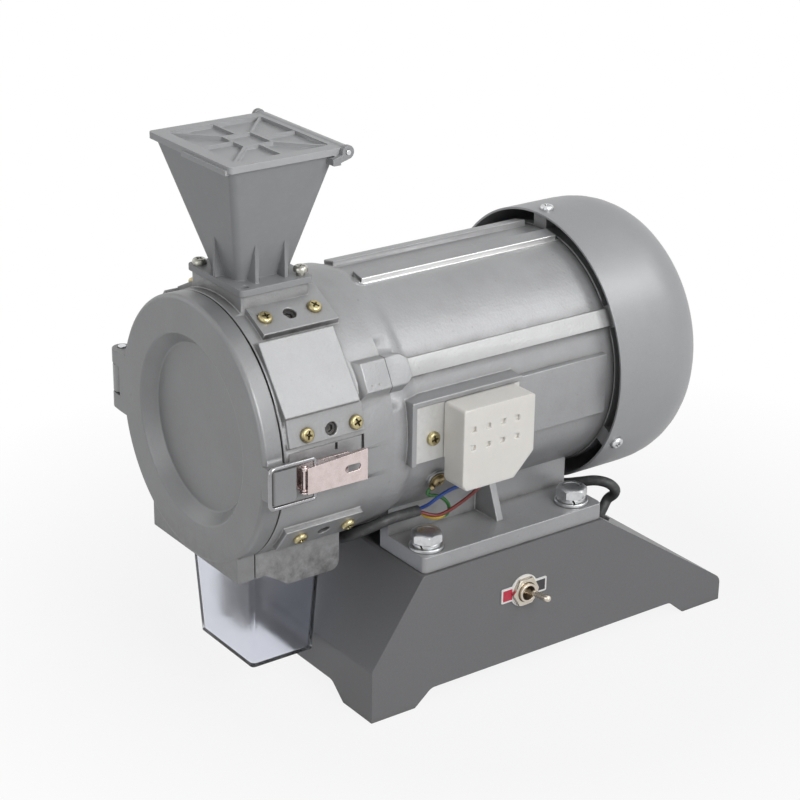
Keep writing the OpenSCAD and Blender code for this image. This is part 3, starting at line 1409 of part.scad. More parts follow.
module earth_screw() {
    color("#8f8455") at_angle(earth_a) translate([earth_face_r + earth_lug_t, earth_y, 0]) rotate([0, 90, 0])
        pan_screw(screw_head_r - 0.3, screw_head_h, screw_r, earth_face_r - stator_r - 1);
}

module wire_blue() {
    color("#2d4f9e") tube(smooth_route(blue_route, 3), wire_r, 8);
}

module wire_brown() {
    color("#7a2f24") tube(smooth_route(brown_route, 3), wire_r, 8);
}

module wire_earth() {
    color("#d8b12a") tube(smooth_route(earth_route, 2), wire_r, 8);
}

module motor_lead() {
    color("#2a2b2d") tube(smooth_route(lead_route, 2), lead_r, 10);
}

module lead_grommet() {
    color("#1f2021") on_rear_slope(grommet_x, grommet_y) difference() {
        union() {
            cylinder(r = grommet_r, h = 2);
            translate([0, 0, -base_wall]) cylinder(r = grommet_r - 1.5, h = base_wall + 1);
            translate([0, 0, -base_wall - 2]) cylinder(r = grommet_r, h = 2);
        }
        translate([0, 0, -grommet_t - over]) cylinder(r = lead_r + gap, h = 3 * grommet_t);
    }
}

module cord_gland() {
    x0 = -half_w;
    color("#242526") translate([0, gland_y, gland_z]) difference() {
        union() {
            bar_x(gland_r, x0 - 4, x0);
            bar_x(gland_r - 2, x0 - 9, x0 - 3);
            bar_x(gland_r - 1.5, x0 - over, x0 + base_wall + over);
            translate([x0 + base_wall, 0, 0]) rotate([0, 90, 0]) hex(2 * gland_r, 4);
        }
        bar_x(gland_bore_r, x0 - 10, x0 + base_wall + 5);
    }
}

module run_capacitor() {
    color("#d8d8d2") translate([capacitor_x, capacitor_y - capacitor_l / 2, capacitor_z]) rotate([-90, 0, 0]) {
        cylinder(r = capacitor_r, h = capacitor_l);
        translate([0, 0, capacitor_l]) for (s = [-1, 1]) translate([-3, s * 8 - 0.4, -over])
            cube([6.3, 0.8, 9]);
    }
}

module capacitor_clip() {
    r0 = capacitor_r + seat;
    r1 = r0 + clip_t;
    z = base_h - base_wall - capacitor_z;
    color("#b5b8ba") translate([capacitor_x, capacitor_y - clip_w / 2, capacitor_z]) difference() {
        union() {
            rotate([-90, 0, 0]) cylinder(r = r1, h = clip_w);
            translate([-r1 - 10, 0, z - clip_t]) cube([2 * r1 + 20, clip_w, clip_t]);
            for (s = [-1, 1]) translate([s * (r1 - clip_t / 2) - clip_t / 2, 0, 0]) cube([clip_t, clip_w, z]);
        }
        translate([0, -over, 0]) rotate([-90, 0, 0]) cylinder(r = r0, h = clip_w + 2 * over);
        box_from([-r0, -over, 0], [r0, clip_w + over, z + over]);
    }
}

// Switch

module switch_body() {
    x1 = half_w - base_wall;
    color("#26282b") translate([0, switch_y, switch_z]) difference() {
        union() {
            box_from([x1 - body_size[0], -body_size[1] / 2, -body_size[2] / 2],
                [x1, body_size[1] / 2, body_size[2] / 2]);
            bar_x(bushing_r, x1 - over, x1 - over + bushing_l);
            for (s = [-1, 0, 1]) box_from([x1 - body_size[0] - 8, s * 9 - 3, -0.4], [x1 - body_size[0] + over, s * 9 + 3, 0.4]);
        }
        bar_x(bushing_bore_r, x1 - 8, x1 + 2 * bushing_l);
    }
}

module switch_nut() {
    color("#cfd1d2") translate([half_w + label_t, switch_y, switch_z]) rotate([0, 90, 0]) difference() {
        intersection() {
            hex(switch_nut_af, switch_nut_t);
            rotate_extrude() polygon([[0, 0], [switch_nut_af / 2 + 1, 0], [switch_nut_af / 2 + 1, switch_nut_t - 0.8],
                [switch_nut_af / 2 - 0.4, switch_nut_t], [0, switch_nut_t]]);
        }
        translate([0, 0, -over]) cylinder(r = bushing_r + fit, h = switch_nut_t + 2 * over);
    }
}

module switch_label() {
    color("#c8342c") translate([half_w, switch_y, switch_z]) rotate([0, 90, 0]) difference() {
        union() {
            cylinder(r = label_disc_r, h = label_t);
            rotate(90) round_slab(label_l, label_h * 0.75, label_t, 1);
        }
        translate([0, 0, -over]) cylinder(r = bushing_r + seat, h = label_t + 2 * over);
    }
}

module switch_lever() {
    color("#b9aa9a") translate([toggle_pivot_x, switch_y, switch_z]) rotate([0, 0, toggle_lean])
        rotate([0, 90, 0]) rotate_extrude() polygon(concat([[0, -toggle_ball_r]],
            arc_points([0, 0], toggle_ball_r, -72, 72 + 60, 9),
            [[toggle_r0, toggle_ball_r + 1], [toggle_r1, toggle_l - toggle_r1],
                [toggle_r1 * 0.7, toggle_l - 0.6], [0, toggle_l]]));
}

base_shell();
motor_frame();
foot_bolts();
foot_washers();
foot_nuts();
stator_core();
stator_winding();
rotor_shaft();
motor_rotor();
front_bearing();
rear_bearing();
rear_shield();
cooling_fan();
fan_cover();
fan_cover_screws();
tie_bolts();
drum_housing();
liner_plates();
liner_screws();
liner_set_screws();
sieve_screen();
shaft_seal();
beater_rotor();
beater_blades();
blade_screws();
rotor_nut();
door();
door_gasket();
door_hinge_pin();
latch_base();
latch_rivets();
latch_pivot_pin();
latch_lever();
latch_bail();
hopper();
hopper_screws();
hopper_lid();
lid_hinge_pin();
sample_box();
terminal_plate();
terminal_block();
terminal_screw();
earth_lug();
earth_screw();
wire_blue();
wire_brown();
wire_earth();
motor_lead();
lead_grommet();
cord_gland();
run_capacitor();
capacitor_clip();
switch_body();
switch_nut();
switch_label();
switch_lever();
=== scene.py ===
import math
import bpy
from mathutils import Matrix, Vector
from mathutils.bvhtree import BVHTree
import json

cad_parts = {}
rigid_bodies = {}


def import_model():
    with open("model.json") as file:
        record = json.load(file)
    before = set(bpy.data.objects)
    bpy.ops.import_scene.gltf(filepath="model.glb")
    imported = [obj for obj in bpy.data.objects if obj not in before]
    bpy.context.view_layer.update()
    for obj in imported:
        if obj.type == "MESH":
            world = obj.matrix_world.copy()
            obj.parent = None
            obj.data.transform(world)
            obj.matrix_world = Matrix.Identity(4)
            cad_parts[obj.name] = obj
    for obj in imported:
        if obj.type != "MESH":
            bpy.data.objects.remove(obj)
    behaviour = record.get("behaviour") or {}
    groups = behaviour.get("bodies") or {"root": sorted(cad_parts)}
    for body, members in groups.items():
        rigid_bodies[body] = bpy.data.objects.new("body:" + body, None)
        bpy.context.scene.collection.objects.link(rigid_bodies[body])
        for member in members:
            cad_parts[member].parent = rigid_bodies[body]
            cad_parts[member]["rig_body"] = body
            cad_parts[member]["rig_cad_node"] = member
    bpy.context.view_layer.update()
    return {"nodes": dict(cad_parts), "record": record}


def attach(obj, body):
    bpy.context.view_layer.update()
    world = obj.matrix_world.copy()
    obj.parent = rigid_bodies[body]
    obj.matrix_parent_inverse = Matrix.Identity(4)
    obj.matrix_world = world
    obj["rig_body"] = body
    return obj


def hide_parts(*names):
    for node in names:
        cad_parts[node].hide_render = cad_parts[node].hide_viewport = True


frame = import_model()
print("frame loaded:", len(frame["nodes"]), "nodes")

mm = 0.001
axisZ = 175.7  # height of the shaft, in mm like the two below
frameY0 = -122  # where the drum meets the motor
baseH = 87


# nodes of the materials

class Nodes:
    # short ways to add and join the nodes of one tree

    def __init__(self, tree):
        self.tree = tree

    def add(self, kind, **values):
        node = self.tree.nodes.new(kind)
        for key, value in values.items():
            setattr(node, key, value)
        return node

    def join(self, source, target):
        self.tree.links.new(source, target)

    def feed(self, target, value):
        if isinstance(value, (int, float, tuple)):
            target.default_value = value
        else:
            self.join(value, target)

    def math(self, operation, first, second=0.0, clamp=False):
        node = self.add("ShaderNodeMath", operation=operation, use_clamp=clamp)
        self.feed(node.inputs[0], first)
        self.feed(node.inputs[1], second)
        return node.outputs[0]

    def sway(self, value, share):
        # the value's swing about its middle, times a share
        return self.math("MULTIPLY", self.math("SUBTRACT", value, 0.5), share)

    def spread(self, value, low, high, newLow=0.0, newHigh=1.0):
        node = self.add("ShaderNodeMapRange")
        self.feed(node.inputs["Value"], value)
        for label, number in (("From Min", low), ("From Max", high), ("To Min", newLow), ("To Max", newHigh)):
            self.feed(node.inputs[label], number)
        return node.outputs["Result"]

    def mix(self, factor, first, second):
        node = self.add("ShaderNodeMix", data_type="RGBA")
        self.feed(node.inputs["Factor"], factor)
        self.feed(node.inputs[6], first)
        self.feed(node.inputs[7], second)
        return node.outputs[2]

    def blend(self, factor, first, second):
        # one shader over another
        node = self.add("ShaderNodeMixShader")
        for source, target in zip((factor, first, second), node.inputs):
            self.join(source, target)
        return node.outputs[0]

    def noise(self, place, size, detail=2.0, rough=0.5):
        node = self.add("ShaderNodeTexNoise")
        self.feed(node.inputs["Vector"], place)
        self.feed(node.inputs["Scale"], size)
        node.inputs["Detail"].default_value = detail
        node.inputs["Roughness"].default_value = rough
        return node.outputs["Fac"]

    def pits(self, place, size):
        node = self.add("ShaderNodeTexVoronoi")
        self.feed(node.inputs["Vector"], place)
        self.feed(node.inputs["Scale"], size)
        return node.outputs["Distance"]

    def corners(self, reach, low, high):
        # from an occlusion test: 1 deep in a corner of the form, 0 on an open side, the mask of painted shade
        # in the corners
        node = self.add("ShaderNodeAmbientOcclusion", samples=6)
        self.feed(node.inputs["Distance"], reach)
        return self.spread(node.outputs["AO"], low, high, 1, 0)

    def objectPlace(self):
        return self.add("ShaderNodeTexCoord").outputs["Object"]

    def axes(self, place):
        node = self.add("ShaderNodeSeparateXYZ")
        self.join(place, node.inputs[0])
        return node.outputs

    def toned(self, colour, value):
        # the colour made lighter or darker
        node = self.add("ShaderNodeHueSaturation")
        self.join(colour, node.inputs["Color"])
        self.join(value, node.inputs["Value"])
        return node.outputs["Color"]

    def bump(self, height, strength, distance):
        node = self.add("ShaderNodeBump")
        self.feed(node.inputs["Height"], height)
        self.feed(node.inputs["Strength"], strength)
        node.inputs["Distance"].default_value = distance
        return node.outputs["Normal"]


def emptyTree(owner):
    owner.use_nodes = True
    owner.node_tree.nodes.clear()
    return Nodes(owner.node_tree)


# camera, floor and light

cameraView = {
    "azimuth": 53.97,  # degrees round from the door side
    "elevation": 22.65,
    "roll": 0.83,
    "distance": 1.3186,
    "target": (0.0, -0.0611, 0.1599),
    "lens": 97.09,
}


def addCamera(values):
    a = math.radians(values["azimuth"])
    e = math.radians(values["elevation"])
    r = math.radians(values["roll"])
    back = Vector((math.sin(a) * math.cos(e), -math.cos(a) * math.cos(e), math.sin(e)))
    side = Vector((0, 0, 1)).cross(back).normalized()
    up = back.cross(side)
    right = side * math.cos(r) + up * math.sin(r)
    top = up * math.cos(r) - side * math.sin(r)
    data = bpy.data.cameras.new("photoCamera")
    data.lens = values["lens"]
    data.sensor_width = 36
    camera = bpy.data.objects.new("photoCamera", data)
    bpy.context.scene.collection.objects.link(camera)
    place = Matrix((right, top, back)).transposed().to_4x4()
    place.translation = Vector(values["target"]) + back * values["distance"]
    camera.matrix_world = place
    bpy.context.scene.camera = camera


softBoxes = [
    # name, place, aimed at, width, height, power
    ("skyBox", (0.3, 0.15, 1.5), (0, -0.05, 0.15), 1.1, 1.3, 2.4),
    ("sideBox", (1.3, -0.1, 0.95), (0, -0.04, 0.17), 0.7, 0.6, 12.5),
    ("shineBox", (0.85, 0.85, 1.25), (0, -0.04, 0.2), 0.5, 0.5, 4),
    ("lowBox", (1.5, 0.1, 0.25), (0, -0.02, 0.12), 0.8, 0.4, 1.4),
    ("frontBox", (0.3, -1.5, 0.5), (0, -0.05, 0.19), 0.8, 0.8, 3),
    ("fillBox", (-1.2, -0.9, 0.7), (0, -0.05, 0.2), 1.0, 1.0, 2),
]


def addSoftBox(name, place, aim, width, height, power):
    data = bpy.data.lights.new(name, "AREA")
    data.shape = "RECTANGLE"
    data.size = width
    data.size_y = height
    data.energy = power
    lamp = bpy.data.objects.new(name, data)
    lamp.location = place
    lamp.rotation_euler = (Vector(aim) - Vector(place)).to_track_quat("-Z", "Y").to_euler()
    bpy.context.scene.collection.objects.link(lamp)


def whiteTo(n):
    # 1 for the rays that show the white background
    rays = n.add("ShaderNodeLightPath").outputs
    straight = n.math("MAXIMUM", rays["Is Camera Ray"], rays["Is Transmission Ray"])
    return n.math("MAXIMUM", straight, rays["Is Glossy Ray"])


def addWorld(ambient):
    world = bpy.data.worlds.new("paleRoom")
    bpy.context.scene.world = world
    n = emptyTree(world)
    plain = n.add("ShaderNodeBackground")
    plain.inputs["Color"].default_value = (0.93, 0.96, 1, 1)
    plain.inputs["Strength"].default_value = ambient
    white = n.add("ShaderNodeBackground")
    white.inputs["Color"].default_value = (1, 1, 1, 1)
    white.inputs["Strength"].default_value = 1
    out = n.add("ShaderNodeOutputWorld")
    n.join(n.blend(whiteTo(n), plain.outputs[0], white.outputs[0]), out.inputs["Surface"])


floorLook = {"size": 6, "matte": (0.45, 0.45, 0.46, 1), "near": 0.2, "far": 0.45, "whiteNear": 0.88}


def addFloor(values):
    bpy.ops.mesh.primitive_plane_add(size=values["size"], location=(0, 0, 0))
    floor = bpy.context.object
    floor.name = "paleFloor"
    bpy.ops.object.transform_apply(location=True, rotation=True, scale=True)
    material = bpy.data.materials.new("paleFloor")
    n = emptyTree(material)
    # the floor turns white away from the object, and keeps its shadow near it
    away = n.add("ShaderNodeVectorMath", operation="LENGTH")
    n.join(n.objectPlace(), away.inputs[0])
    fade = n.spread(away.outputs["Value"], values["near"], values["far"], values["whiteNear"], 1)
    matte = n.add("ShaderNodeBsdfDiffuse")
    matte.inputs["Color"].default_value = values["matte"]
    glow = n.add("ShaderNodeEmission")
    glow.inputs["Strength"].default_value = 1
    out = n.add("ShaderNodeOutputMaterial")
    white = n.math("MULTIPLY", whiteTo(n), fade)
    n.join(n.blend(white, matte.outputs[0], glow.outputs[0]), out.inputs["Surface"])
    floor.data.materials.append(material)


addCamera(cameraView)
for box in softBoxes:
    addSoftBox(*box)
addWorld(0.11)
bpy.ops.object.select_all(action="DESELECT")
addFloor(floorLook)
bpy.context.scene.view_settings.view_transform = "Standard"
print("camera, floor and light are set")


# finishes

socketKinds = {1: "NodeSocketFloat", 3: "NodeSocketVector", 4: "NodeSocketColor"}


def startGroup(name, wanted):
    # a group that takes the wanted values and gives a colour, a roughness and a normal
    group = bpy.data.node_groups.new(name, "ShaderNodeTree")
    for label, value in wanted.items():
        kind = socketKinds[len(value) if isinstance(value, tuple) else 1]
        socket = group.interface.new_socket(name=label, in_out="INPUT", socket_type=kind)
        socket.default_value = value
    for label, numbers in (("Colour", 4), ("Roughness", 1), ("Normal", 3)):
        group.interface.new_socket(name=label, in_out="OUTPUT", socket_type=socketKinds[numbers])
    nodes = Nodes(group)
    return group, nodes, nodes.add("NodeGroupInput").outputs, nodes.add("NodeGroupOutput").inputs


def makeCastSkin():
    # sand cast or sprayed metal: cloudy tone, flakes, pits, painted shade in the corners and streaks darker
    # towards the bottom
    group, n, have, give = startGroup("castSkin", {
        "Colour": (0.4, 0.4, 0.4, 1), "Dirt And Shade Colour": (0.05, 0.045, 0.04, 1), "Cloud": 0.15, "Flakes": 0.1,
        "Pits": 0.5, "Corner Shade": 0.5, "Grain": 600, "Roughness": 0.4, "Relief": 0.3, "Corner": 0.006,
        "Low Darkening": 0.0, "Low Level": 0.12})
    place = n.objectPlace()
    grain = n.noise(place, have["Grain"], 3, 0.6)
    cloud = n.noise(place, 26, 4, 0.6)
    patch = n.noise(place, 75, 3, 0.55)
    flake = n.noise(place, 3200, 0, 0.5)
    pit = n.spread(n.pits(place, 230), 0.02, 0.22, 1, 0)
    pitHere = n.math("MULTIPLY", pit, n.spread(n.noise(place, 55, 2), 0.52, 0.68), True)
    pitMask = n.math("MULTIPLY", pitHere, have["Pits"], True)
    tone = n.math("ADD", n.sway(cloud, have["Cloud"]), n.sway(flake, have["Flakes"]))
    tone = n.math("ADD", tone, n.sway(patch, n.math("MULTIPLY", have["Cloud"], 0.6)))
    colour = n.toned(have["Colour"], n.math("ADD", tone, 1.0))
    # painted shade: darker where the occlusion test finds a corner, broken up in patches
    cornerShade = n.math("MULTIPLY", n.corners(have["Corner"], 0.35, 0.95), n.spread(patch, 0.35, 0.65, 0.35, 1))
    dirtAndShade = n.math("MULTIPLY", cornerShade, have["Corner Shade"], True)
    dirtAndShade = n.math("MAXIMUM", dirtAndShade, n.math("MULTIPLY", pitMask, 0.55))
    # darker in streaks below the low level, towards the bottom
    depth = n.spread(n.math("SUBTRACT", have["Low Level"], n.axes(place)["Z"]), -0.01, 0.03)
    streaks = n.spread(n.noise(place, 130, 4, 0.7), 0.35, 0.7, 0.25, 1)
    lowDarkening = n.math("MULTIPLY", n.math("MULTIPLY", depth, streaks), have["Low Darkening"])
    dirtAndShade = n.math("MAXIMUM", dirtAndShade, lowDarkening)
    n.join(n.mix(dirtAndShade, colour, have["Dirt And Shade Colour"]), give["Colour"])
    rough = n.math("ADD", have["Roughness"], n.sway(patch, 0.16))
    n.join(n.math("ADD", rough, n.math("MULTIPLY", dirtAndShade, 0.3), True), give["Roughness"])
    height = n.math("SUBTRACT", n.math("ADD", grain, n.math("MULTIPLY", patch, 1.6)),
                    n.math("MULTIPLY", pitMask, 1.5))
    n.join(n.bump(height, have["Relief"], 0.0004), give["Normal"])
    return group


def makeMetalSkin():
    # plated or turned steel: faint streaks, smudges, fine scratches and painted shade in the corners
    group, n, have, give = startGroup("metalSkin", {
        "Colour": (0.6, 0.6, 0.6, 1), "Smudge And Shade Colour": (0.3, 0.28, 0.25, 1), "Smudges": 0.4,
        "Roughness": 0.2, "Streaks": 0.2, "Relief": 0.15, "Stretch": (1, 1, 12), "Corner Shade Weight": 0.7})
    place = n.objectPlace()
    mapped = n.add("ShaderNodeVectorMath", operation="MULTIPLY")
    n.join(place, mapped.inputs[0])
    n.join(have["Stretch"], mapped.inputs[1])
    streak = n.noise(mapped.outputs[0], 420, 3, 0.6)
    smudge = n.spread(n.noise(place, 190, 4, 0.6), 0.42, 0.72)
    dirtAndShade = n.math("MULTIPLY", smudge, have["Smudges"], True)
    # painted shade: darker where the occlusion test finds a corner
    cornerShade = n.math("MULTIPLY", n.corners(0.0018, 0.3, 0.85), have["Corner Shade Weight"], True)
    dirtAndShade = n.math("MAXIMUM", dirtAndShade, cornerShade)
    n.join(n.mix(dirtAndShade, have["Colour"], have["Smudge And Shade Colour"]), give["Colour"])
    rough = n.math("ADD", have["Roughness"], n.sway(streak, have["Streaks"]))
    n.join(n.math("ADD", rough, n.math("MULTIPLY", dirtAndShade, 0.35), True), give["Roughness"])
    n.join(n.bump(streak, have["Relief"], 0.0001), give["Normal"])
    return group


def makePlasticSkin():
    # moulded plastic, rubber and insulation: fine grain, slight mottling and dust
    group, n, have, give = startGroup("plasticSkin", {
        "Colour": (0.3, 0.3, 0.3, 1), "Dust Colour": (0.5, 0.5, 0.48, 1), "Dust": 0.1, "Mottle": 0.08,
        "Roughness": 0.5, "Grain": 1500, "Relief": 0.1})
    place = n.objectPlace()
    grain = n.noise(place, have["Grain"], 2, 0.6)
    patch = n.noise(place, 60, 4, 0.6)
    colour = n.toned(have["Colour"], n.math("ADD", n.sway(patch, have["Mottle"]), 1.0))
    dust = n.math("MULTIPLY", n.spread(n.noise(place, 260, 4, 0.7), 0.5, 0.75), have["Dust"], True)
    n.join(n.mix(dust, colour, have["Dust Colour"]), give["Colour"])
    n.join(n.math("ADD", have["Roughness"], n.sway(patch, 0.2), True), give["Roughness"])
    n.join(n.bump(grain, have["Relief"], 0.0002), give["Normal"])
    return group


castSkin = makeCastSkin()
metalSkin = makeMetalSkin()
plasticSkin = makePlasticSkin()


def skinMaterial(name, group, values, shaderValues):
    material = bpy.data.materials.new(name)
    n = emptyTree(material)
    out = n.add("ShaderNodeOutputMaterial")
    shader = n.add("ShaderNodeBsdfPrincipled")
    for label, value in shaderValues.items():
        shader.inputs[label].default_value = value
    skin = n.add("ShaderNodeGroup")
    skin.node_tree = group
    for label, value in values.items():
        skin.inputs[label].default_value = value
    for given, wanted in (("Colour", "Base Color"), ("Roughness", "Roughness"), ("Normal", "Normal")):
        n.join(skin.outputs[given], shader.inputs[wanted])
    n.join(shader.outputs["BSDF"], out.inputs["Surface"])
    return material


def rgb(r, g, b):
    return (r, g, b, 1)


# in each finish, the corner values set how much painted shade darkens its corners
finishes = {
    "castingPaint": (castSkin, {"Colour": rgb(0.35, 0.352, 0.358), "Cloud": 0.26, "Flakes": 0.22,
                                "Corner Shade": 0.8, "Relief": 0.35}, {"Metallic": 0.38}),
    # the low values darken the drum and the door in streaks towards the bottom
    "drumPaint": (castSkin, {"Colour": rgb(0.34, 0.342, 0.347), "Cloud": 0.26, "Flakes": 0.22, "Pits": 0.7,
                             "Corner Shade": 0.9, "Relief": 0.4, "Corner": 0.008, "Low Darkening": 0.8},
                  {"Metallic": 0.38}),
    "coverPaint": (castSkin, {"Colour": rgb(0.34, 0.344, 0.352), "Cloud": 0.1, "Flakes": 0.3, "Pits": 0.0,
                              "Corner Shade": 0.4, "Relief": 0.12, "Grain": 1200.0},
                   {"Metallic": 0.38}),
    "doorPaint": (castSkin, {"Colour": rgb(0.27, 0.272, 0.276), "Cloud": 0.24, "Flakes": 0.12, "Pits": 0.3,
                             "Corner Shade": 0.6, "Relief": 0.25, "Low Darkening": 0.4, "Low Level": 0.112},
                  {"Metallic": 0.35}),
    "basePaint": (castSkin, {"Colour": rgb(0.155, 0.156, 0.16), "Cloud": 0.08, "Flakes": 0.3, "Pits": 0.0,
                             "Corner Shade": 0.3, "Roughness": 0.46, "Relief": 0.1, "Grain": 1400.0},
                  {"Metallic": 0.1}),
    "boltZinc": (metalSkin, {"Colour": rgb(0.62, 0.635, 0.65), "Roughness": 0.3,
                             "Smudge And Shade Colour": rgb(0.25, 0.24, 0.22)}, {"Metallic": 1.0}),
    "plateZinc": (metalSkin, {"Colour": rgb(0.66, 0.66, 0.65), "Smudges": 0.22, "Roughness": 0.4,
                              "Smudge And Shade Colour": rgb(0.36, 0.35, 0.33)}, {"Metallic": 0.6}),
    "flangeZinc": (metalSkin, {"Colour": rgb(0.44, 0.44, 0.4), "Smudges": 0.5, "Roughness": 0.3,
                               "Smudge And Shade Colour": rgb(0.14, 0.13, 0.1)}, {"Metallic": 1.0}),
    "bailChrome": (metalSkin, {"Colour": rgb(0.33, 0.33, 0.34), "Smudges": 0.35, "Roughness": 0.16,
                               "Smudge And Shade Colour": rgb(0.16, 0.15, 0.15)}, {"Metallic": 1.0}),
    "dullBrass": (metalSkin, {"Colour": rgb(0.34, 0.27, 0.15), "Smudges": 0.5, "Roughness": 0.36,
                              "Smudge And Shade Colour": rgb(0.1, 0.08, 0.05)}, {"Metallic": 0.9}),
    "hopperPlastic": (plasticSkin, {"Colour": rgb(0.29, 0.294, 0.3), "Mottle": 0.14, "Roughness": 0.44,
                                    "Relief": 0.25, "Dust": 0.08}, {}),
    # the hopper's plastic made lighter for the lid: painted light on its lit top
    "lidPlasticPaintedLight": (plasticSkin, {"Colour": rgb(0.41, 0.414, 0.42), "Mottle": 0.16, "Roughness": 0.4,
                                 "Relief": 0.25, "Dust": 0.12}, {}),
    "zincSteel": (metalSkin, {"Colour": rgb(0.72, 0.735, 0.75), "Smudges": 0.3, "Roughness": 0.22},
                  {"Metallic": 1.0}),
    "yellowZinc": (metalSkin, {"Colour": rgb(0.47, 0.41, 0.23), "Smudge And Shade Colour": rgb(0.1, 0.075, 0.035),
                               "Smudges": 0.6, "Roughness": 0.27, "Corner Shade Weight": 1.0}, {"Metallic": 1.0}),
    "blackSteel": (metalSkin, {"Colour": rgb(0.05, 0.05, 0.052), "Smudges": 0.1, "Roughness": 0.4},
                   {"Metallic": 0.6}),
    "nickelSteel": (metalSkin, {"Colour": rgb(0.68, 0.585, 0.57), "Smudges": 0.3, "Roughness": 0.22,
                                "Smudge And Shade Colour": rgb(0.36, 0.28, 0.26)}, {"Metallic": 1.0}),
    "switchNickel": (metalSkin, {"Colour": rgb(0.62, 0.57, 0.49), "Smudges": 0.35, "Roughness": 0.22,
                                 "Smudge And Shade Colour": rgb(0.25, 0.21, 0.16)}, {"Metallic": 1.0}),
    "machinedSteel": (metalSkin, {"Colour": rgb(0.56, 0.57, 0.58), "Smudges": 0.35, "Roughness": 0.3,
                                  "Relief": 0.3}, {"Metallic": 1.0}),
    "laminationSteel": (metalSkin, {"Colour": rgb(0.3, 0.31, 0.33), "Smudges": 0.4, "Roughness": 0.45,
                                    "Stretch": (0.4, 5, 0.4), "Relief": 0.6}, {"Metallic": 0.9}),
    "copperWinding": (metalSkin, {"Colour": rgb(0.5, 0.2, 0.09), "Smudges": 0.3, "Roughness": 0.35,
                                  "Relief": 0.7}, {"Metallic": 0.7}),
    "fanPlastic": (plasticSkin, {"Colour": rgb(0.05, 0.05, 0.054), "Dust": 0.2}, {}),
    "rubberBlack": (plasticSkin, {"Colour": rgb(0.022, 0.022, 0.024), "Roughness": 0.62, "Dust": 0.12}, {}),
    "blockNylon": (plasticSkin, {"Colour": rgb(0.78, 0.76, 0.72), "Roughness": 0.4, "Dust": 0.06,
                                 "Dust Colour": rgb(0.45, 0.43, 0.4), "Relief": 0.06},
                   {"Subsurface Weight": 0.7, "Subsurface Scale": 0.003, "Subsurface Radius": (1, 0.95, 0.9)}),
    "wireBlue": (plasticSkin, {"Colour": rgb(0.03, 0.09, 0.38), "Roughness": 0.35, "Dust": 0.03}, {}),
    "wireBrown": (plasticSkin, {"Colour": rgb(0.2, 0.035, 0.03), "Roughness": 0.35, "Dust": 0.03}, {}),
    "leadSheath": (plasticSkin, {"Colour": rgb(0.045, 0.046, 0.047), "Dust": 0.12}, {}),
    "capacitorCan": (plasticSkin, {"Colour": rgb(0.7, 0.7, 0.66), "Roughness": 0.35}, {}),
    "phenolic": (plasticSkin, {"Colour": rgb(0.03, 0.032, 0.035), "Roughness": 0.35}, {}),
}
materials = {name: skinMaterial(name, *spec) for name, spec in finishes.items()}


def patternStart(material):
    # the material's nodes by kind, for a pattern of its own, and the place along each axis
    n = Nodes(material.node_tree)
    kinds = {node.type: node for node in n.tree.nodes}
    return n, kinds, n.axes(n.objectPlace())


earthStripe = {"green": rgb(0.03, 0.16, 0.035), "yellow": rgb(0.72, 0.47, 0.02), "turn": (0.0625, 0.0634)}


def makeEarthStripe(values):
    # yellow insulation whose green stripe turns round to the front half way along
    material = skinMaterial("wireEarth", plasticSkin, {"Roughness": 0.35, "Dust": 0.03}, {})
    n, kinds, at = patternStart(material)
    green = n.spread(at["X"], *values["turn"])
    n.join(n.mix(green, values["yellow"], values["green"]), kinds["GROUP"].inputs["Colour"])
    return material


def makeClearAcrylic():
    material = bpy.data.materials.new("clearAcrylic")
    n = emptyTree(material)
    out = n.add("ShaderNodeOutputMaterial")
    shader = n.add("ShaderNodeBsdfPrincipled")
    shader.inputs["Transmission Weight"].default_value = 1
    shader.inputs["IOR"].default_value = 1.22
    shader.inputs["Metallic"].default_value = 0
    place = n.objectPlace()
    haze = n.noise(place, 60, 4, 0.6)
    n.join(n.mix(haze, rgb(0.79, 0.805, 0.86), rgb(0.86, 0.87, 0.91)), shader.inputs["Base Color"])
    n.join(n.spread(haze, 0.3, 0.8, 0.1, 0.24), shader.inputs["Roughness"])
    n.join(n.bump(n.noise(place, 35, 2), 0.1, 0.0003), shader.inputs["Normal"])
    n.join(shader.outputs["BSDF"], out.inputs["Surface"])
    return material


switchLook = {
    "y": -0.0276, "z": 0.0562, "bushing": 0.082,
    # reach of a colour field along the plate from its middle, and half its height
    "field": (0.0092, 0.0163), "fieldHalf": 0.0036,
    "border": rgb(0.78, 0.77, 0.75), "red": rgb(0.5, 0.02, 0.05), "black": rgb(0.03, 0.03, 0.035),
    "case": rgb(0.03, 0.032, 0.035), "nickel": rgb(0.6, 0.54, 0.47),
}


def makeSwitchPlate(values):
    # red field to the front, black field to the back, each inside a pale border
    material = skinMaterial("switchPlate", plasticSkin, {"Roughness": 0.3, "Dust": 0.05}, {})
    n, kinds, at = patternStart(material)
    along = n.math("SUBTRACT", at["Y"], values["y"])
    upward = n.math("ABSOLUTE", n.math("SUBTRACT", at["Z"], values["z"]))
    reach = n.math("ABSOLUTE", along)
    start, end = values["field"]
    inLong = n.math("MULTIPLY", n.math("GREATER_THAN", reach, start), n.math("LESS_THAN", reach, end))
    field = n.math("MULTIPLY", inLong, n.math("LESS_THAN", upward, values["fieldHalf"]))
    side = n.mix(n.math("GREATER_THAN", along, 0.0), values["red"], values["black"])
    n.join(n.mix(field, values["border"], side), kinds["GROUP"].inputs["Colour"])
    return material


def makeSwitchCase(values):
    # black body inside the base, bare nickel bushing outside it
    material = skinMaterial("switchCase", plasticSkin, {"Roughness": 0.32, "Dust": 0.1}, {})
    n, kinds, at = patternStart(material)
    outside = n.math("GREATER_THAN", at["X"], values["bushing"])
    n.join(n.mix(outside, values["case"], values["nickel"]), kinds["GROUP"].inputs["Colour"])
    n.join(outside, kinds["BSDF_PRINCIPLED"].inputs["Metallic"])
    return material


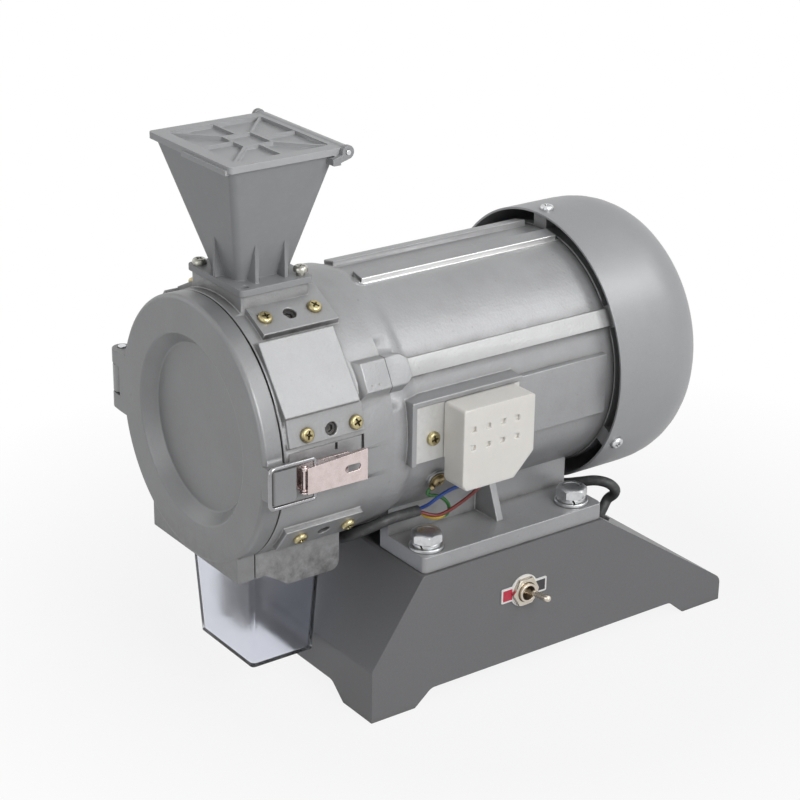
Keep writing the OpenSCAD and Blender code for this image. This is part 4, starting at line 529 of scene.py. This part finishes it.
# two bars of the motor casting, bright as bare metal with a painted highlight
bareBarsAndHighlights = {
    "axis": 0.1757, "start": -0.1055, "bareAndHighlight": rgb(0.86, 0.86, 0.85), "metallic": (0.38, 0.95),
    # angle of the bar, its sideways span, least distance from the shaft, share of bare metal and painted
    # highlight
    "faces": [(79, -0.0054, -0.0047, 0.0752, 1.0), (29, -0.0054, 0.0054, 0.0797, 0.25)],
}


def makeFramePaint(values):
    # casting paint, with bare metal and a painted highlight on the side of the top bar and the face of the tie
    # bolt bar
    material = skinMaterial("framePaint", *finishes["castingPaint"])
    n, kinds, at = patternStart(material)
    upward = n.math("SUBTRACT", at["Z"], values["axis"])

    def slanted(first, second, operation, angle):
        return n.math(operation, n.math("MULTIPLY", first, math.cos(angle)),
                      n.math("MULTIPLY", second, math.sin(angle)))

    bareAndHighlight = 0.0
    for degrees, low, high, out, share in values["faces"]:
        angle = math.radians(degrees)
        aside = slanted(upward, at["X"], "SUBTRACT", angle)
        outward = slanted(at["X"], upward, "ADD", angle)
        within = n.math("MULTIPLY", n.math("GREATER_THAN", aside, low), n.math("LESS_THAN", aside, high))
        here = n.math("MULTIPLY", within, n.math("GREATER_THAN", outward, out))
        bareAndHighlight = n.math("MAXIMUM", bareAndHighlight, n.math("MULTIPLY", here, share))
    bareAndHighlight = n.math("MULTIPLY", bareAndHighlight, n.math("GREATER_THAN", at["Y"], values["start"]))
    paint, shader = kinds["GROUP"], kinds["BSDF_PRINCIPLED"]
    n.join(n.mix(bareAndHighlight, paint.outputs["Colour"], values["bareAndHighlight"]), shader.inputs["Base Color"])
    n.join(n.spread(bareAndHighlight, 0, 1, *values["metallic"]), shader.inputs["Metallic"])
    return material


materials["wireEarth"] = makeEarthStripe(earthStripe)
materials["clearAcrylic"] = makeClearAcrylic()
materials["switchPlate"] = makeSwitchPlate(switchLook)
materials["switchCase"] = makeSwitchCase(switchLook)
materials["framePaint"] = makeFramePaint(bareBarsAndHighlights)

slotLooks = {
    "base_paint": "basePaint", "casting_paint": "castingPaint", "door_paint": "doorPaint",
    "zinc_steel": "zincSteel", "yellow_zinc": "yellowZinc", "black_steel": "blackSteel",
    "nickel_steel": "nickelSteel", "machined_steel": "machinedSteel", "lamination_steel": "laminationSteel",
    "copper_winding": "copperWinding", "fan_plastic": "fanPlastic", "rubber_black": "rubberBlack",
    "hopper_plastic": "hopperPlastic", "box_clear": "clearAcrylic", "block_nylon": "blockNylon",
    "wire_blue": "wireBlue", "wire_brown": "wireBrown", "wire_earth": "wireEarth",
    "lead_sheath": "leadSheath", "capacitor_can": "capacitorCan", "phenolic": "phenolic",
    "label_red": "switchPlate",
}
ownLooks = {"fan_cover": "coverPaint", "foot_bolts": "boltZinc", "foot_washers": "boltZinc",
            "drum_housing": "drumPaint", "motor_frame": "framePaint", "hopper_lid": "lidPlasticPaintedLight",
            "terminal_plate": "plateZinc", "earth_lug": "dullBrass", "earth_screw": "dullBrass",
            "fan_cover_screws": "boltZinc", "switch_body": "switchCase"}
slotOf = {part["node"]: part["material_slot"] for part in frame["record"]["subparts"]}


def lookOf(node):
    return materials[ownLooks.get(node, slotLooks[slotOf[node]])]


for node, part in frame["nodes"].items():
    part.data.materials.clear()
    part.data.materials.append(lookOf(node))
print("finishes are on:", len(materials))


# ways of working on a piece

def pick(*parts):
    bpy.ops.object.select_all(action="DESELECT")
    for part in parts:
        part.select_set(True)
    bpy.context.view_layer.objects.active = parts[0]


def openEdit(elements, action):
    bpy.ops.object.mode_set(mode="EDIT")
    bpy.ops.mesh.select_mode(type=elements)
    bpy.ops.mesh.select_all(action=action)


def closeEdit():
    bpy.ops.object.mode_set(mode="OBJECT")


def chooseFaces(part, wanted):
    # leaves edit mode open with the wanted faces chosen
    pick(part)
    openEdit("FACE", "DESELECT")
    closeEdit()
    for face in part.data.polygons:
        face.select = wanted(face)
    bpy.ops.object.mode_set(mode="EDIT")


def fixPlace(part):
    pick(part)
    bpy.ops.object.transform_apply(location=True, rotation=True, scale=True)


def useModifier(part, kind, **values):
    pick(part)
    modifier = part.modifiers.new(kind.lower(), kind)
    for key, value in values.items():
        setattr(modifier, key, value)
    bpy.ops.object.modifier_apply(modifier=modifier.name)


def smooth(part, angle):
    pick(part)
    bpy.ops.object.shade_smooth_by_angle(angle=math.radians(angle))


def cutBy(part, tool, operation="DIFFERENCE"):
    useModifier(part, "BOOLEAN", operation=operation, object=tool, solver="EXACT")
    bpy.data.objects.remove(tool)


def joined(parts, name):
    pick(*parts)
    if len(parts) > 1:
        bpy.ops.object.join()
    whole = bpy.context.object
    whole.name = name
    whole.data.name = name
    return whole


def copied(part, place):
    pick(part)
    bpy.ops.object.duplicate()
    copy = bpy.context.object
    copy.matrix_world = place @ part.matrix_world
    fixPlace(copy)
    return copy


def settle(part, name, body, slot, look, *nodes):
    part.name = name
    part.data.name = name
    part.data.materials.clear()
    part.data.materials.append(materials[look])
    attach(part, body)
    if nodes:
        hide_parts(*nodes)
    return part


def copyOf(part):
    pick(part)
    bpy.ops.object.duplicate()
    copy = bpy.context.object
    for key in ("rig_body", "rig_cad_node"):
        if key in copy:
            del copy[key]
    copy.parent = None
    return copy


edgeRules = {
    "room": 2.2,  # widths that each face of an edge needs beside it
    "seamBand": 0.4,  # mm on either side of the seam plane whose edges stay sharp
    "off": 1.3,  # widths that a rounding may leave the unrounded form
    "near": 1.5,  # widths round a folded spot whose edges stay sharp
    "turns": 6,
    "merge": 0.01,  # mm
    "flat": 0.4,  # degrees between faces that are made one
}


def reachFrom(mesh, face, a, b):
    # how far a face reaches from the line through two of its corners
    along = (b - a).normalized()
    aside = [mesh.vertices[v].co - a for v in face.vertices]
    return max((v - along * v.dot(along)).length for v in aside)


def onSeam(place, seam):
    return seam is not None and abs(place.y - seam) < edgeRules["seamBand"] * mm


def sharpEdges(part, width, angle, seam):
    # the sharp edges whose faces have room for a rounding, but for those on the seam plane
    mesh = part.data
    sides = {}
    for face in mesh.polygons:
        for key in face.edge_keys:
            sides.setdefault(key, []).append(face)
    found = []
    for edge in mesh.edges:
        faces = sides.get(edge.key, [])
        if len(faces) != 2 or faces[0].normal.angle(faces[1].normal, 0) < math.radians(angle):
            continue
        a, b = (mesh.vertices[v].co for v in edge.vertices)
        if onSeam(a, seam) and onSeam(b, seam):
            continue
        if min(reachFrom(mesh, face, a, b) for face in faces) > edgeRules["room"] * width:
            found.append((edge.index, a.copy(), b.copy()))
    return found


def foldedSpots(part, tree, width):
    # corners of the triangles that turn over or leave the unrounded form
    mesh = part.data
    mesh.calc_loop_triangles()
    spots = []
    for triangle in mesh.loop_triangles:
        if triangle.area < 0.0001 * mm * mm:
            continue
        corners = [mesh.vertices[v].co for v in triangle.vertices]
        hit = tree.find_nearest((corners[0] + corners[1] + corners[2]) / 3)
        if hit[3] > edgeRules["off"] * width or hit[1].dot(triangle.normal) < -0.1:
            spots += [corner.copy() for corner in corners]
    return spots


def nearLine(spot, a, b):
    along = b - a
    share = max(0, min(1, (spot - a).dot(along) / max(along.length_squared, 1e-16)))
    return (spot - a - along * share).length


def roundEdges(part, width, segments, angle=32.0, seam=None):
    # rounds what can be rounded cleanly, and leaves the other edges sharp
    tree = BVHTree.FromPolygons([v.co for v in part.data.vertices], [f.vertices for f in part.data.polygons])
    edges = sharpEdges(part, width, angle, seam)
    for turn in range(edgeRules["turns"]):
        trial = copyOf(part)
        openEdit("EDGE", "DESELECT")
        closeEdit()
        for index, a, b in edges:
            trial.data.edges[index].select = True
        bpy.ops.object.mode_set(mode="EDIT")
        bpy.ops.mesh.bevel(offset=width, offset_type="OFFSET", segments=segments, affect="EDGES",
                           clamp_overlap=False)
        closeEdit()
        spots = foldedSpots(trial, tree, width)
        if not spots:
            break
        reach = edgeRules["near"] * width
        kept = [edge for edge in edges if min(nearLine(spot, edge[1], edge[2]) for spot in spots) > reach]
        if len(kept) == len(edges):
            break
        edges = kept
        bpy.data.objects.remove(trial)
    bpy.data.objects.remove(part)
    print("  edges", len(edges), "rounds", turn + 1, "left over", len(spots) // 3)
    return trial


def roundedCopy(node, name, width, segments=2, angle=32.0, shading=35.0, seam=None):
    # a copy of a node's solid whose sharp edges are rounded
    source = frame["nodes"][node]
    body = source["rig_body"]
    part = copyOf(source)
    openEdit("FACE", "SELECT")
    bpy.ops.mesh.remove_doubles(threshold=edgeRules["merge"] * mm)
    closeEdit()
    # made one, the motor's faces on the seam plane would be triangulated wrongly after the rounding
    chooseFaces(part, lambda face: node != "motor_frame" or not onSeam(face.center, seam))
    bpy.ops.mesh.dissolve_limited(angle_limit=math.radians(edgeRules["flat"]))
    closeEdit()
    part = roundEdges(part, width, segments, angle, seam)
    smooth(part, shading)
    useModifier(part, "WEIGHTED_NORMAL", keep_sharp=True, weight=80)
    if node == "motor_frame":
        part = joined([part, flatSlab(sideFlat)], name)
    slot = slotOf[node]
    return settle(part, name, body, slot, ownLooks.get(node, slotLooks[slot]), node)


sideFlat = {"x": (70, 78), "y": (-36, 36.5), "z": (156.2, 194.5), "soft": 0.8}


def flatSlab(values):
    # the slab of the flat that runs on from the terminal pad to the fan cover
    spans = [values[axis] for axis in "xyz"]
    bpy.ops.object.select_all(action="DESELECT")
    bpy.ops.mesh.primitive_cube_add(size=mm, location=[(low + high) / 2 * mm for low, high in spans])
    part = bpy.context.object
    part.scale = [high - low for low, high in spans]
    fixPlace(part)
    useModifier(part, "BEVEL", width=values["soft"] * mm, segments=3)
    smooth(part, 35)
    return part


roundings = {
    # node: name, width of the rounding, segments
    "base_shell": ("foldedBase", 0.5, 2),
    "motor_frame": ("motorCasting", 0.7, 3),
    "drum_housing": ("drumCasting", 0.7, 3),
    "door": ("drumDoor", 0.8, 3),
    "fan_cover": ("fanCover", 0.3, 2),
    "hopper": ("feedHopper", 0.5, 3),
    "hopper_lid": ("hopperLid", 0.3, 2),
    "sample_box": ("sampleBox", 0.4, 2),
    "terminal_plate": ("terminalPlate", 0.3, 2),
    "terminal_block": ("terminalBlock", 1.0, 4),
    "latch_base": ("latchPlate", 0.2, 2),
    "latch_lever": ("latchLever", 0.3, 3),
    "latch_rivets": ("latchRivets", 0.25, 2),
    "latch_pivot_pin": ("latchPin", 0.3, 2),
    "lid_hinge_pin": ("lidPin", 0.3, 2),
    "door_hinge_pin": ("doorPin", 0.4, 2),
    "liner_plates": ("linerPlates", 0.2, 1),
    "liner_set_screws": ("setScrews", 0.2, 2),
    "beater_rotor": ("beaterRotor", 0.6, 2),
    "beater_blades": ("beaterBlades", 0.4, 2),
    "rotor_nut": ("rotorNut", 0.3, 2),
    "rear_shield": ("rearShield", 0.6, 2),
    "cooling_fan": ("coolingFan", 0.3, 2),
    "earth_lug": ("earthLug", 0.15, 2),
    "switch_label": ("switchPlate", 0.12, 2),
    "switch_body": ("switchBody", 0.4, 2),
    "cord_gland": ("cordGland", 0.4, 2),
    "run_capacitor": ("runCapacitor", 0.8, 3),
    "capacitor_clip": ("capacitorClip", 0.2, 2),
    "tie_bolts": ("tieBolts", 0.3, 2),
    "lead_grommet": ("leadGrommet", 0.5, 3),
}
for node, (name, width, segments) in roundings.items():
    seam = frameY0 * mm if node in ("motor_frame", "drum_housing") else None
    roundedCopy(node, name, width * mm, segments, seam=seam)
    print("rounded", name)


# fasteners

def turned(name, rings, sides=48):
    # a solid turned about Z through rings of radius and height in mm, closed by flat ends
    radius, height = rings[0]
    bpy.ops.object.select_all(action="DESELECT")
    bpy.ops.mesh.primitive_circle_add(vertices=sides, radius=radius * mm, fill_type="NGON",
                                      location=(0, 0, height * mm))
    part = bpy.context.object
    part.name = name
    fixPlace(part)
    openEdit("FACE", "SELECT")
    for (r0, z0), (r1, z1) in zip(rings, rings[1:]):
        bpy.ops.mesh.extrude_region_move(TRANSFORM_OT_translate={"value": (0, 0, (z1 - z0) * mm)})
        bpy.ops.transform.resize(value=(r1 / r0, r1 / r0, 1), center_override=(0, 0, z1 * mm))
    bpy.ops.mesh.select_all(action="SELECT")
    bpy.ops.mesh.normals_make_consistent(inside=False)
    closeEdit()
    return part


def blade(long, wide, low, high, taper):
    # a wedge along X that narrows downwards
    bpy.ops.object.select_all(action="DESELECT")
    bpy.ops.mesh.primitive_cube_add(size=mm, location=(0, 0, (low + high) / 2 * mm))
    part = bpy.context.object
    part.scale = (long, wide, high - low)
    fixPlace(part)
    chooseFaces(part, lambda face: face.normal.z < -0.9)
    bpy.ops.transform.resize(value=(taper, taper, 1), center_override=(0, 0, low * mm))
    closeEdit()
    return part


def turnedBy(angle, axis):
    return Matrix.Rotation(math.radians(angle), 4, axis)


def movedTo(x, y, z):
    return Matrix.Translation(Vector((x, y, z)) * mm)


def aboutShaft(angle, radius, y):
    # the place of a piece that stands on the motor's round side, its Z pointing outwards
    return movedTo(0, y, axisZ) @ turnedBy(-angle, "Y") @ movedTo(radius, 0, 0) @ turnedBy(90, "Y")


def panScrew(name, headR, headH, shankR, shankL):
    # a pan head screw with a crossed recess, its head standing on Z = 0
    rings = [(shankR - 0.5, -shankL), (shankR, 0.6 - shankL), (shankR, 0), (headR, 0), (headR, 0.3 * headH)]
    rings += [(headR * (0.62 + 0.38 * math.cos(math.radians(15 * i))),
               headH * (0.3 + 0.7 * math.sin(math.radians(15 * i)))) for i in range(1, 7)]
    part = turned(name, rings)
    for angle in (0, 90):
        wedge = blade(1.3 * headR, 0.3 * headR, 0.3 * headH, 1.2 * headH, 0.55)
        cutBy(part, copied(wedge, turnedBy(angle, "Z")))
        bpy.data.objects.remove(wedge)
    pit = turned("pit", [(0.1 * headR, 0), (0.3 * headR, 1.2 * headH)], 16)
    cutBy(part, pit)
    smooth(part, 30)
    return part


def placedScrews(master, name, node, look, places):
    # copies of one fastener, each turned a little differently
    copies = [copied(master, place @ turnedBy(turn, "Z")) for place, turn in places]
    bpy.data.objects.remove(master)
    whole = joined(copies, name)
    return settle(whole, name, frame["nodes"][node]["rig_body"], slotOf[node], look, node)


# radius and height of the head, radius of the shank
steelPan = (4.3, 2.6, 2.4)

# angle, distance from the shaft and middle of each pad, and the pitch of its two screws
liner = {"pads": [(63.3, 82.5, -164.8), (13.3, 80.7, -164.8), (-37.5, 82.5, -161)], "pitch": 32.5, "long": 11.5}
linerPlaces = []
for side in (0, 1):
    for angle, face, row in liner["pads"]:
        for end in (-0.5, 0.5):
            turn = 37 * len(linerPlaces) % 90
            place = aboutShaft(180 - angle if side else angle, face, row + end * liner["pitch"])
            linerPlaces.append((place, turn))
placedScrews(panScrew("linerScrews", *steelPan, liner["long"]), "linerScrews", "liner_screws", "yellowZinc",
             linerPlaces)

flange = {"x": 24.1, "y": 18.6, "mid": -167.5, "top": 265, "proud": 2.5, "pan": (4.3, 3.2, 2.4), "long": 10}
flangePlaces = [(movedTo(-flange["x"], flange["mid"] - flange["y"], flange["top"]), 20),
                (movedTo(-flange["x"], flange["mid"] + flange["y"], flange["top"]), 65),
                (movedTo(flange["x"], flange["mid"] + flange["y"], flange["top"] + flange["proud"]), 40)]
placedScrews(panScrew("flangeScrews", *flange["pan"], flange["long"]), "flangeScrews", "hopper_screws",
             "flangeZinc", flangePlaces)

cover = {"radius": 87, "y": 49.5, "angles": (90, 210, 330), "long": 6}
coverPlaces = [(aboutShaft(angle, cover["radius"], cover["y"]), 25 + angle) for angle in cover["angles"]]
placedScrews(panScrew("coverScrews", *steelPan, cover["long"]), "coverScrews", "fan_cover_screws", "boltZinc",
             coverPlaces)

terminal = {"place": (82.5, -97.5, 173.3), "turn": 12, "long": 6}
placedScrews(panScrew("terminalScrew", *steelPan, terminal["long"]), "terminalScrew", "terminal_screw",
             "yellowZinc", [(movedTo(*terminal["place"]) @ turnedBy(90, "Y"), terminal["turn"])])

earth = {"pan": (4, 2.6, 2.4), "long": 7, "angle": -28, "radius": 79, "y": -83.5, "turn": 50}
placedScrews(panScrew("earthScrew", *earth["pan"], earth["long"]), "earthScrew", "earth_screw", "dullBrass",
             [(aboutShaft(earth["angle"], earth["radius"], earth["y"]), earth["turn"])])


def hexBolt(name, across, headH, shankR, shankL):
    # a hex head with a rounded chamfer over a plain shank
    corner = across / 2 / math.cos(math.radians(30))
    head = turned(name, [(corner, 0), (corner, headH)], 6)
    form = turned("form", [(across / 2 - 0.2, -0.1), (corner + 0.3, 0.9), (corner + 0.3, headH - 2.1),
                           (corner - 0.25, headH - 1.25), (across / 2 - 0.1, headH - 0.45),
                           (across / 2 - 0.9, headH)])
    cutBy(head, form, "INTERSECT")
    dish = turned("dish", [(across / 2 - 3.4, headH - 0.3), (across / 2 - 2.8, headH + 0.1)])
    cutBy(head, dish)
    shank = turned("shank", [(shankR - 0.9, -shankL), (shankR, 1 - shankL), (shankR, 0.5)])
    smooth(head, 30)
    smooth(shank, 30)
    return joined([head, shank], name)


def ring(name, outer, inner, low, high, soft):
    # a flat ring with softened outer edges
    part = turned(name, [(outer - soft, low), (outer, low + soft), (outer, high - soft), (outer - soft, high)])
    cutBy(part, turned("hole", [(inner, low - 1), (inner, high + 1)]))
    smooth(part, 30)
    return part


foot = {"x": 70.5, "mid": -36.1, "y": 55.5, "turns": ((-1, -1, 10), (-1, 1, 47), (1, -1, 4), (1, 1, 31))}
footPlaces = [(movedTo(x * foot["x"], foot["mid"] + y * foot["y"], 0), turn) for x, y, turn in foot["turns"]]
bolt = {"across": 17, "head": 6.4, "shank": 5, "length": 32, "under": 102.1}
placedScrews(hexBolt("footBolts", bolt["across"], bolt["head"], bolt["shank"], bolt["length"]),
             "footBolts", "foot_bolts", "boltZinc",
             [(place @ movedTo(0, 0, bolt["under"]), turn) for place, turn in footPlaces])

washer = {"foot": 97.7, "plain": 2, "spring": 2.4, "plainR": 10.5, "springR": 8.8, "hole": 5.1}
spring = ring("spring", washer["springR"], washer["hole"] + 0.1, 0, washer["spring"], 0.4)
slit = blade(8, 1.2, -1, 4, 1)
cutBy(spring, copied(slit, movedTo(8, 0, 1.2) @ turnedBy(28, "X") @ movedTo(0, 0, -1.5)))
bpy.data.objects.remove(slit)
plain = ring("plain", washer["plainR"], washer["hole"], 0, washer["plain"], 0.35)
stack = joined([plain, copied(spring, movedTo(0, 0, washer["plain"]) @ turnedBy(-60, "Z"))], "footWashers")
bpy.data.objects.remove(spring)
placedScrews(stack, "footWashers", "foot_washers", "boltZinc",
             [(place @ movedTo(0, 0, washer["foot"]), turn) for place, turn in footPlaces])


def hexNut(name, across, height, hole, soft):
    corner = across / 2 / math.cos(math.radians(30))
    nut = turned(name, [(corner, 0), (corner, height)], 6)
    form = turned("form", [(across / 2 - 0.1, 0), (corner + 0.2, soft), (corner + 0.2, height - soft),
                           (across / 2 - 0.1, height)])
    cutBy(nut, form, "INTERSECT")
    cutBy(nut, turned("hole", [(hole + 0.7, -0.1), (hole, 0.6), (hole, height - 0.6),
                               (hole + 0.7, height + 0.1)]))
    smooth(nut, 30)
    return nut


footNut = {"across": 17, "height": 8, "hole": 5.1, "soft": 1.1, "under": 76, "turn": 15}
placedScrews(hexNut("footNuts", footNut["across"], footNut["height"], footNut["hole"], footNut["soft"]),
             "footNuts", "foot_nuts", "boltZinc",
             [(place @ movedTo(0, 0, footNut["under"]), turn + footNut["turn"]) for place, turn in footPlaces])
print("fasteners are in place")


# the toggle switch

switch = {"x": 84.5, "y": -27.6, "z": 56.2, "plate": 0.8, "nut": 2.8, "across": 17, "bushing": 6.05,
          "pivot": 82, "lean": 14.5, "long": 22.25, "neck": 1.6, "bat": 2.3}
placedScrews(hexNut("switchNut", switch["across"], switch["nut"], switch["bushing"], 0.7), "switchNut",
             "switch_nut", "switchNickel",
             [(movedTo(switch["x"] + switch["plate"], switch["y"], switch["z"]) @ turnedBy(90, "Y"), 0)])
# the ball, the neck and the tip of the lever
batRings = [(0.8, -4.1), (2.4, -3.4), (3.6, -2.1), (4.15, -0.6), (4.15, 0.6), (3.7, 1.9), (2.9, 3.0)]
batRings += [(switch["neck"] + more, z) for more, z in ((0.3, 4.0), (0, 5.2), (0.1, 9))]
batRings += [(switch["bat"] - less, switch["long"] - back)
             for less, back in ((0.15, 6), (0, 3.4), (0.1, 1.8), (0.5, 0.8), (1.2, 0.2))]
bat = turned("batLever", batRings + [(0.4, switch["long"])], 32)
smooth(bat, 40)
leaning = movedTo(switch["pivot"], switch["y"], switch["z"]) @ turnedBy(switch["lean"], "Z") @ turnedBy(90, "Y")
placedScrews(bat, "batLever", "switch_lever", "switchNickel", [(leaning, 0)])
print("switch is in place")


# wires

def smoothRoute(points, steps):
    # the same smooth run through the points as the wire has in the CAD part
    last = len(points) - 1
    route = []
    for i in range(last):
        p0, p1, p2, p3 = (Vector(points[k]) for k in (max(i - 1, 0), i, i + 1, min(i + 2, last)))
        for k in range(steps):
            t = k / steps
            route.append(0.5 * (2 * p1 + (p2 - p0) * t + (2 * p0 - 5 * p1 + 4 * p2 - p3) * t * t
                                + (3 * p1 - p0 - 3 * p2 + p3) * t * t * t))
    return route + [Vector(points[last])]


def wireAlong(name, route, radius, sides):
    # a round wire along a route in mm
    curve = bpy.data.curves.new(name, "CURVE")
    curve.dimensions = "3D"
    curve.bevel_depth = radius * mm
    curve.bevel_resolution = sides
    curve.use_fill_caps = True
    spline = curve.splines.new("POLY")
    spline.points.add(len(route) - 1)
    for point, place in zip(spline.points, route):
        point.co = (*(Vector(place) * mm), 1)
    part = bpy.data.objects.new(name, curve)
    bpy.context.scene.collection.objects.link(part)
    pick(part)
    bpy.ops.object.convert(target="MESH")
    part = bpy.context.object
    openEdit("FACE", "SELECT")
    bpy.ops.mesh.remove_doubles(threshold=0.002 * mm)
    bpy.ops.mesh.normals_make_consistent(inside=False)
    closeEdit()
    smooth(part, 50)
    return part


def fromPlace(place, points):
    return [tuple(a + b for a, b in zip(place, point)) for point in points]


# rise of the rear slope over its run, and how far down the slope the grommet sits
slope = {"foot": 16, "from": 34, "to": 140, "down": 22}
slopeAngle = math.atan((baseH - slope["foot"]) / (slope["to"] - slope["from"]))
overGrommet = (56, 56, baseH)
atTerminal = (0, frameY0, axisZ)
beforeFeet = (0, -102, baseH)
behindFeet = (0, 34, baseH)
behindCapacitor = (-36, 2, 63)


def offSlope(d):
    x, y, z = overGrommet
    z -= slope["down"] * math.tan(slopeAngle)
    return (x, y + d * math.sin(slopeAngle), z + d * math.cos(slopeAngle))


leadRoute = (
    fromPlace(atTerminal, [(59.5, 32, -59.2), (59.5, 22, -59.1), (58.5, 14, -59.7), (57, 6.5, -61.5),
                           (52.5, 0, -65.3), (45.5, -4.5, -70.5)])
    + fromPlace(beforeFeet, [(37, -25.5, 13.2), (29, -22.5, 9.2), (23, -16.5, 6), (19.5, -8.5, 4.6),
                             (18, 1, 4), (18, 18, 4), (18, 44, 4)])
    + fromPlace(behindFeet, [(18, -62, 4), (18, -34, 4), (19, -14, 4), (22, -2, 4), (29, 3.5, 3.8)])
    + fromPlace(overGrommet, [(-18.5, -13.5, 4.6), (-10, -8.5, 7.4), (-2, -3, 10), (4, 2.5, 9),
                              (6, 7, 4.5), (3.5, 8.6, -0.5)])
    + [offSlope(d) for d in (12, 6, 0, -6)]
    + fromPlace(overGrommet, [(-3.5, -9, -25.5), (-12, -17, -30), (-26, -23, -31)])
    + fromPlace(behindCapacitor, [(48, 28, -6), (28, 27, -4), (12, 23, -2), (3, 15, -0.4), (0, 6, 0),
                                  (0, 0.3, 0)]))
blueRoute = fromPlace(atTerminal, [(60.6, 32.2, -57.5), (60.6, 33.4, -57.5), (63, 34.6, -55.7),
                                   (66.8, 34.7, -52.8), (71.4, 36, -48.1), (76.5, 38.3, -42.9), (82, 41, -38.1),
                                   (86.8, 43.6, -34.7), (88, 44.6, -31.2)])
brownRoute = fromPlace(atTerminal, [(61.2, 32.2, -60.3), (61.2, 33.8, -60.3), (63.2, 38.5, -62.3),
                                    (65.8, 43, -62.5), (68.4, 48.6, -59.9), (71.4, 53.4, -55.7),
                                    (75.6, 56.4, -50.7), (80, 58.5, -45.2), (84, 60.8, -38.7), (86, 62, -31.2)])
earthRoute = fromPlace(atTerminal, [(68.1, 34.3, -42.5), (67.4, 33.2, -43.8), (66.8, 33.4, -45.9),
                                    (66.4, 36, -47.7), (66.2, 40.4, -49.1), (66, 45, -51.9),
                                    (65.8, 48.6, -55.7), (65, 50.8, -59.7), (63.6, 51.3, -63.4),
                                    (62.4, 50, -65.9), (61.4, 45.5, -66.6), (60.3, 40.5, -65.5),
                                    (59, 36.4, -63.3), (58.2, 33.8, -60.7), (58.2, 32.2, -60.7)])
wire = {"sheath": 3.3, "core": 1.1, "steps": 8, "sides": 7}
for name, node, look, points, kind in (
        ("motorLead", "motor_lead", "leadSheath", leadRoute, "sheath"),
        ("blueWire", "wire_blue", "wireBlue", blueRoute, "core"),
        ("brownWire", "wire_brown", "wireBrown", brownRoute, "core"),
        ("earthWire", "wire_earth", "wireEarth", earthRoute, "core")):
    part = wireAlong(name, smoothRoute(points, wire["steps"]), wire[kind], wire["sides"])
    settle(part, name, "root", slotOf[node], look, node)
print("wires are in place")


# the bail of the latch

def roundedPath(points, radii, steps):
    # a path whose inner corners are replaced by arcs
    route = [Vector(points[0])]
    for before, corner, after, radius in zip(points, points[1:], points[2:], radii):
        corner = Vector(corner)
        back = (Vector(before) - corner).normalized()
        on = (Vector(after) - corner).normalized()
        middle = corner + (back + on) * radius
        for k in range(steps + 1):
            t = math.radians(90 * k / steps)
            route.append(middle - on * radius * math.cos(t) - back * radius * math.sin(t))
    return route + [Vector(points[-1])]


bail = {"x": 87.3, "back": -181.5, "front": -210.7, "z": 171.8, "half": 12, "inner": 6.5, "wire": 1.2,
        "bends": (1.6, 3, 3, 1.6), "steps": 8, "sides": 7}
bailCorners = [(bail["x"], bail[end], bail["z"] + way * bail[reach])
               for end, way, reach in (("back", -1, "inner"), ("back", -1, "half"), ("front", -1, "half"),
                                       ("front", 1, "half"), ("back", 1, "half"), ("back", 1, "inner"))]
bailWire = wireAlong("latchBail", roundedPath(bailCorners, bail["bends"], bail["steps"]), bail["wire"],
                     bail["sides"])
settle(bailWire, "latchBail", "latch_wire", slotOf["latch_bail"], "bailChrome", "latch_bail")
print("bail is in place")
